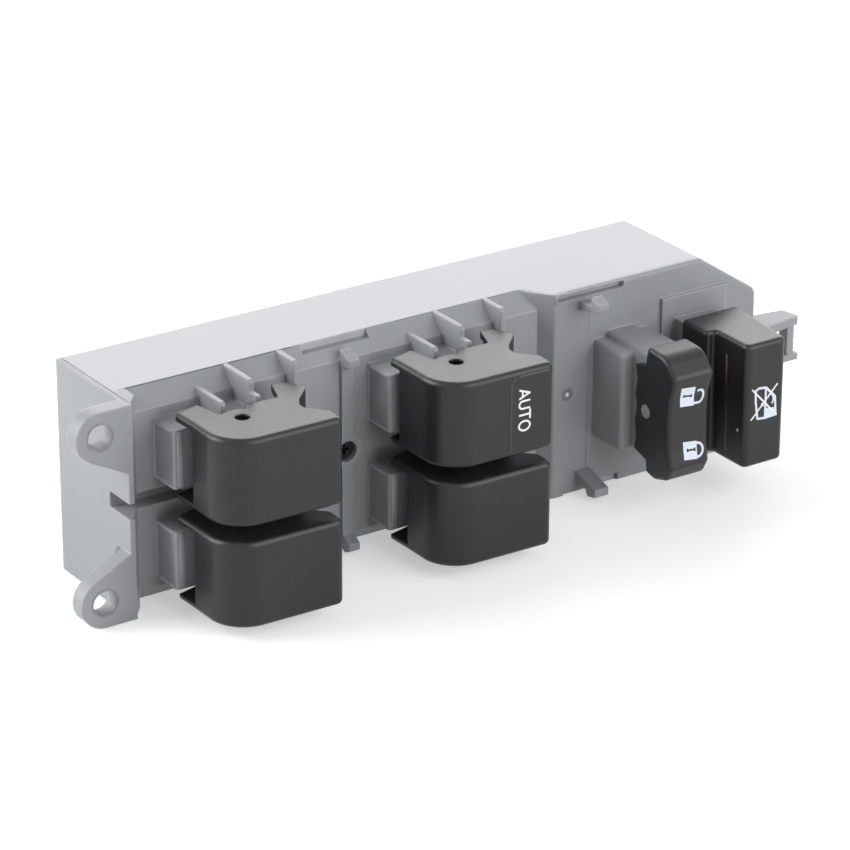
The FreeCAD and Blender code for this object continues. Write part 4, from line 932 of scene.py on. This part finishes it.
class SWITCH_OT_case_details(bpy.types.Operator):
    """Adds the rims of the slot and the ear holes, the gate mark with a painted glint and a ring of painted
    shade, the seams' painted shade and the corner gussets
    """

    bl_idname = "window_switch.case_details"
    bl_label = "Case details"

    # x and z of the gate mark, in millimetres
    gate_place = (121.2, 0.0)

    def execute(self, context):
        values = settings(context)[0]
        self.mouldings()
        self.seams(values)
        self.gate(values)
        return {"FINISHED"}

    def mouldings(self):
        """The slot's rim, the parting line, the gate's ring, the ear holes' lips and the two gussets."""
        slot_left, slot_right, slot_low, slot_high, bend = 118.2, 135.9, 23.5, 24.2, (0.55, 0.55)
        slot = joined(
            arc((slot_right, slot_low), bend, -90, 0, 8),
            arc((slot_right, slot_high), bend, 0, 90, 8),
            arc((slot_left, slot_high), bend, 90, 180, 8),
            arc((slot_left, slot_low), bend, 180, 270, 8),
        )
        rim = flat_bead(slot, "front", HIGH_PANEL_Y, width=0.00045, height=0.00028, closed=True)
        joint = [(126.8, -24.5), (126.8, 22.4)]
        parting = flat_bead(joint, "front", HIGH_PANEL_Y, width=0.00014, height=0.00005)
        round_gate = circle(self.gate_place, 1.45)
        ring = flat_bead(round_gate, "front", HIGH_PANEL_Y, width=0.00026, height=0.00009, closed=True)
        ear_z, lip_radius = 19.3, 3.15
        lips = []
        for side in (-1, 1):
            hole = circle((0.0, side * ear_z), lip_radius, 72)
            lips.append(flat_bead(hole, "front", EAR_FACE_Y, width=0.0004, height=0.00012, closed=True))
        corner, gusset_height = [(6.7, 4.0), (6.7, 6.2), (4.8, 4.0)], 0.7
        gussets = [fin(corner, level, level + gusset_height) for level in (-10.6, 9.9)]
        parts = [rim, parting, ring, *lips, *gussets]
        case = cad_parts["front_case"].material_slots[0].material
        made = make_object("moulding_details", *gathered(parts), [case], "case", "case_grey", smooth=False)
        corners = np.zeros(len(made.data.polygons), np.int32)
        made.data.polygons.foreach_get("loop_total", corners)
        made.data.polygons.foreach_set("use_smooth", corners == 4)

    def seams(self, values):
        """Painted shade in the cover's two seams: thin dark lines on its top."""
        # Painted shade: the seams' gaps drawn as near-black lines
        dark = moulded_plastic("Seam shadow", (0.05, 0.05, 0.052), 0.7, values, rub_and_highlight=0.0, dust=0.0)
        lines = [
            flat_bead([(7.8, 1.5), (7.8, 30.4)], "top", COVER_TOP_Z, width=0.00016, height=0.00002),
            flat_bead([(10.9, 8.5), (52.0, 8.5)], "top", COVER_TOP_Z, width=0.00012, height=0.00002),
        ]
        make_object("seam_lines", *gathered(lines), [dark], "case", "cover_grey")

    def gate(self, values):
        """The bright gate mark and the shaded hollow round it."""
        # The gate mark's nub with a painted glint, and a painted shade ring round it where the gate's dip
        # would be.
        gate_x, gate_z = self.gate_place
        profile = [(0, 0.0002), (0.00026, 0.00018), (0.00046, 0.0001), (0.00054, -0.00005)]
        spot = turned((gate_x * MM, HIGH_PANEL_Y * MM, gate_z * MM), OUTWARD["front"], profile)
        # Painted glint: the nub is near white
        bright = moulded_plastic("Gate mark painted glint", (0.85, 0.86, 0.88), 0.25, values, rub_and_highlight=0.0, dust=0.0)
        make_object("gate_mark", *spot, [bright], "case", "case_grey")
        around = circle(self.gate_place, 0.92)
        painted_shade_ring = flat_bead(around, "front", HIGH_PANEL_Y, width=0.0007, height=0.00002, closed=True)
        # Painted shade: a flat dark ring stands in for the shade in the dip round the gate
        tone = (0.17, 0.177, 0.184)
        shade = moulded_plastic("Painted shade round the gate", tone, 0.6, values, rub_and_highlight=0.0, dust=0.0)
        make_object("gate_painted_shade", *painted_shade_ring, [shade], "case", "case_grey")


class SWITCH_OT_tower_edges(bpy.types.Operator):
    """Adds a painted highlight: the pale rim round each knob tower's left face and the lip on its shoulder
    """

    bl_idname = "window_switch.tower_edges"
    bl_label = "Tower edges"

    def execute(self, context):
        values = settings(context)[0]
        # In millimetres: half the rim's height, its ends along Y, the lip's inset and the points' spacing
        half, near, far, lip_inset, spacing = 6.35, -2.9, 3.9, 1.5, 0.4
        # Painted highlight: the rim and the lip are the case colour made 1.6 times lighter, for light caught
        # by the rounded edges
        tone = scaled(values.case_colour, 1.6)
        pale = moulded_plastic("Tower edge painted highlight", tone, values.case_rough, values, rub_and_highlight=0.0)
        parts = []
        for face in TOWER_LEFT_X:
            for row in KNOB_ROWS_Z:
                low, high = row - half, row + half
                outline = np.array([(near, low), (far, low), (far, high), (near, high)])
                rim = resampled(outline, spacing, False)
                parts.append(flat_bead(rim, "left", face, width=0.0005, height=0.0001))
                # The front driver's tower has no lip
                if (face, row) != (TOWER_LEFT_X[1], KNOB_ROWS_Z[1]):
                    lip = [(face + lip_inset, low), (face + lip_inset, high)]
                    parts.append(flat_bead(lip, "front", TOWER_SHOULDER_Y, width=0.0014, height=0.0001))
        make_object("tower_edges", *gathered(parts), [pale], "case", "case_grey")
        return {"FINISHED"}


class SWITCH_OT_knob_field(bpy.types.Operator):
    """Adds the fine ridge round the field of the word on the front driver's knob; its lighter black is a
    painted highlight
    """

    bl_idname = "window_switch.knob_field"
    bl_label = "Field round the word"

    def execute(self, context):
        values = settings(context)[0]
        outline = joined([(88.3, 3.2)], arc((91.1, 17.6), (2.8, 2.75), 180, 90, 16), [(98.4, 20.35)])
        flat = resampled(outline * MM, 0.0004, False)
        depth = front_height("front_driver_window_knob", flat[:, 0], flat[:, 1])
        path = np.stack([flat[:, 0], depth, flat[:, 1]], axis=1)
        ridge = bead(path, OUTWARD["front"], width=0.0006, height=0.00013)
        # Painted highlight: the ridge is a lighter black than the knob
        ridge_highlight = moulded_plastic("Black ridge painted highlight", (0.030, 0.030, 0.031), 0.3, values, rub_and_highlight=0.0, dust=0.0)
        make_object("field_ridge", *ridge, [ridge_highlight], "front_driver_knob", "key_black")
        return {"FINISHED"}


class SWITCH_OT_button_details(bpy.types.Operator):
    """Adds the light guide's edge and the small bright gate mark on the button's left side"""

    bl_idname = "window_switch.button_details"
    bl_label = "Button details"

    def execute(self, context):
        values = settings(context)[0]
        edge = [(-19.0, -14.0), (-18.3, 9.8)]
        guide = flat_bead(edge, "left", BUTTON_LEFT_X, width=0.0006, height=0.00003)
        glow = printed_ink("Light guide edge", values.glow_colour, 0.6)
        make_object("light_guide_edge", *guide, [glow], "lockout_key", "lamp_amber")
        profile = [(0, 0.00012), (0.0002, 0.0001), (0.00032, 0.00004), (0.00036, -0.00005)]
        spot = turned((BUTTON_LEFT_X * MM, -0.02316, -0.0071), OUTWARD["left"], profile, 20)
        white = bpy.data.materials["White lettering"]
        make_object("button_gate_mark", *spot, [white], "lockout_key", "slider_white")
        return {"FINISHED"}


class SWITCH_OT_stage(bpy.types.Operator):
    """Sets the camera at the picture's angle, with an even light and a pale floor"""

    bl_idname = "window_switch.stage"
    bl_label = "Stage"

    def execute(self, context):
        values = settings(context)[2]
        self.camera(values)
        self.lamps(values)
        self.sky(context.scene, values)
        self.floor(values)
        context.scene.view_settings.view_transform = "Standard"
        return {"FINISHED"}

    def camera(self, values):
        """The camera looks at the object's middle from its azimuth and elevation, with a small shift."""
        a, e = values.azimuth, values.elevation
        back = Vector((math.sin(a) * math.cos(e), -math.cos(a) * math.cos(e), math.sin(e)))
        right = Vector((math.cos(a), math.sin(a), 0.0))
        up = back.cross(right)
        turned_right = right * math.cos(values.roll) + up * math.sin(values.roll)
        turned_up = up * math.cos(values.roll) - right * math.sin(values.roll)
        data = bpy.data.cameras.new("Camera")
        data.sensor_width = 36
        data.lens = values.lens
        data.shift_x = 0.02494
        data.shift_y = -0.00319
        data.clip_start = 0.01
        data.clip_end = 20
        camera = bpy.data.objects.new("Camera", data)
        turn = Matrix((turned_right, turned_up, back)).transposed()
        camera.matrix_world = Matrix.Translation(AIM + back * values.distance) @ turn.to_4x4()
        bpy.context.scene.collection.objects.link(camera)
        bpy.context.scene.camera = camera

    def lamps(self, values):
        """A soft lamp on the left, a fill in front on the right and a wide low lamp behind."""
        reach = 1.2
        for name, away, size, power in (
            ("Key lamp", Vector((-0.80, 0.46, 0.43)), (0.9, 0.9), values.key_power),
            ("Fill lamp", Vector((0.35, -0.85, 0.40)), (1.2, 1.0), values.fill_power),
            ("Back lamp", Vector((0.55, 0.80, 0.42)), (1.3, 0.8), values.back_power),
        ):
            data = bpy.data.lights.new(name, "AREA")
            data.shape = "RECTANGLE"
            data.size, data.size_y = size
            data.energy = power
            lamp = bpy.data.objects.new(name, data)
            lamp.location = AIM + away.normalized() * reach
            lamp.rotation_mode = "QUATERNION"
            lamp.rotation_quaternion = away.to_track_quat("Z", "Y")
            bpy.context.scene.collection.objects.link(lamp)

    def sky(self, scene, values):
        """An even sky, seen as white by the camera, in mirror-like surfaces and through clear ones."""
        scene.world = bpy.data.worlds.new("Even sky")
        scene.world.use_nodes = True
        tree = Tree(scene.world.node_tree)
        rays = tree.node("ShaderNodeLightPath").outputs
        seen = tree.math("MAXIMUM", rays["Is Camera Ray"], rays["Is Glossy Ray"])
        seen = tree.math("MAXIMUM", seen, rays["Is Transmission Ray"])
        strength = tree.spread(seen, 0.0, 1.0, values.sky, 1.0)
        shown = scene.world.node_tree.nodes["Background"]
        shown.inputs["Color"].default_value = (1.0, 1.0, 1.0, 1.0)
        tree.feed(shown.inputs["Strength"], strength)

    def floor(self, values):
        """A pale floor that shows the object's soft shadow: a disc of rings about the object."""
        rings, sides, radius, drop = 11, 64, 6.0, 0.0002
        low, high = CAD_BOX
        centre = (low + high) / 2
        level = low.z - drop
        ring = np.linspace(0.0, 1.0, rings + 1)[1:] ** 2 * radius
        turn = np.linspace(0, 2 * np.pi, sides + 1)[:-1]
        x = centre.x + ring[:, None] * np.cos(turn)
        y = centre.y + ring[:, None] * np.sin(turn)
        points = np.stack([x, y, np.full_like(x, level)], axis=-1).reshape(-1, 3)
        points = np.concatenate([points, [[centre.x, centre.y, level]]])
        around = np.arange(sides)
        starts = np.arange(rings - 1)[:, None] * sides
        first = (starts + around).ravel()
        following = (starts + np.roll(around, -1)).ravel()
        faces = np.stack([first, first + sides, following + sides, following], axis=1).tolist()
        faces += np.stack([np.full(sides, len(points) - 1), around, np.roll(around, -1)], axis=1).tolist()
        mesh = bpy.data.meshes.new("Floor")
        mesh.from_pydata(points.tolist(), [], faces)
        made = bpy.data.objects.new("Floor", mesh)
        bpy.context.scene.collection.objects.link(made)
        made.data.materials.append(self.floor_finish(values))

    def floor_finish(self, values):
        """A diffuse floor, lifted towards white for the camera and for mirror-like surfaces."""
        material = bpy.data.materials.new("Pale floor")
        material.use_nodes = True
        tree = Tree(material.node_tree)
        shader = material.node_tree.nodes["Principled BSDF"]
        point = tree.node("ShaderNodeTexCoord").outputs["Object"]
        tone = tree.spread(tree.noise(point, 8.0), 0.0, 1.0, 0.99, 1.01)
        grey = tree.blend(tone, rgba((0, 0, 0)), rgba((values.floor_tone,) * 3))
        tree.feed(shader.inputs["Base Color"], grey)
        shader.inputs["Roughness"].default_value = 1.0
        shader.inputs["Specular IOR Level"].default_value = 0.0
        shader.inputs["Emission Color"].default_value = (1, 1, 1, 1)
        rays = tree.node("ShaderNodeLightPath").outputs
        seen = tree.math("MAXIMUM", rays["Is Camera Ray"], rays["Is Glossy Ray"])
        tree.feed(shader.inputs["Emission Strength"], tree.math("MULTIPLY", seen, values.floor_lift))
        return material


class SWITCH_PT_panel(bpy.types.Panel):
    """The pieces of the window switch, in the order in which they are made"""

    bl_idname = "SWITCH_PT_panel"
    bl_label = "Window switch"
    bl_space_type = "VIEW_3D"
    bl_region_type = "UI"
    bl_category = "Window switch"

    def draw(self, context):
        layout = self.layout
        for operator in OPERATORS:
            layout.operator(operator.bl_idname)
        for group in settings(context):
            box = layout.box()
            for name in group.bl_rna.properties.keys():
                if name not in ("rna_type", "name"):
                    box.prop(group, name)


GROUPS = (
    ("switch_finishes", SwitchFinishes),
    ("switch_marks", SwitchMarks),
    ("switch_stage", SwitchStage),
)
OPERATORS = (
    SWITCH_OT_groups,
    SWITCH_OT_case,
    SWITCH_OT_keys,
    SWITCH_OT_insides,
    SWITCH_OT_lettering,
    SWITCH_OT_padlocks,
    SWITCH_OT_glass_mark,
    SWITCH_OT_case_details,
    SWITCH_OT_tower_edges,
    SWITCH_OT_knob_field,
    SWITCH_OT_button_details,
    SWITCH_OT_stage,
)


def register():
    """Adds the classes and the groups of values to Blender."""
    for name, group in GROUPS:
        bpy.utils.register_class(group)
        setattr(bpy.types.Scene, name, PointerProperty(type=group))
    for made in (*OPERATORS, SWITCH_PT_panel):
        bpy.utils.register_class(made)


def unregister():
    """Takes them out again."""
    for made in (SWITCH_PT_panel, *reversed(OPERATORS)):
        bpy.utils.unregister_class(made)
    for name, group in reversed(GROUPS):
        delattr(bpy.types.Scene, name)
        bpy.utils.unregister_class(group)


def main():
    """Makes every piece in order."""
    register()
    for operator in OPERATORS:
        group, name = operator.bl_idname.split(".")
        getattr(getattr(bpy.ops, group), name)()


if __name__ == "__main__":
    main()
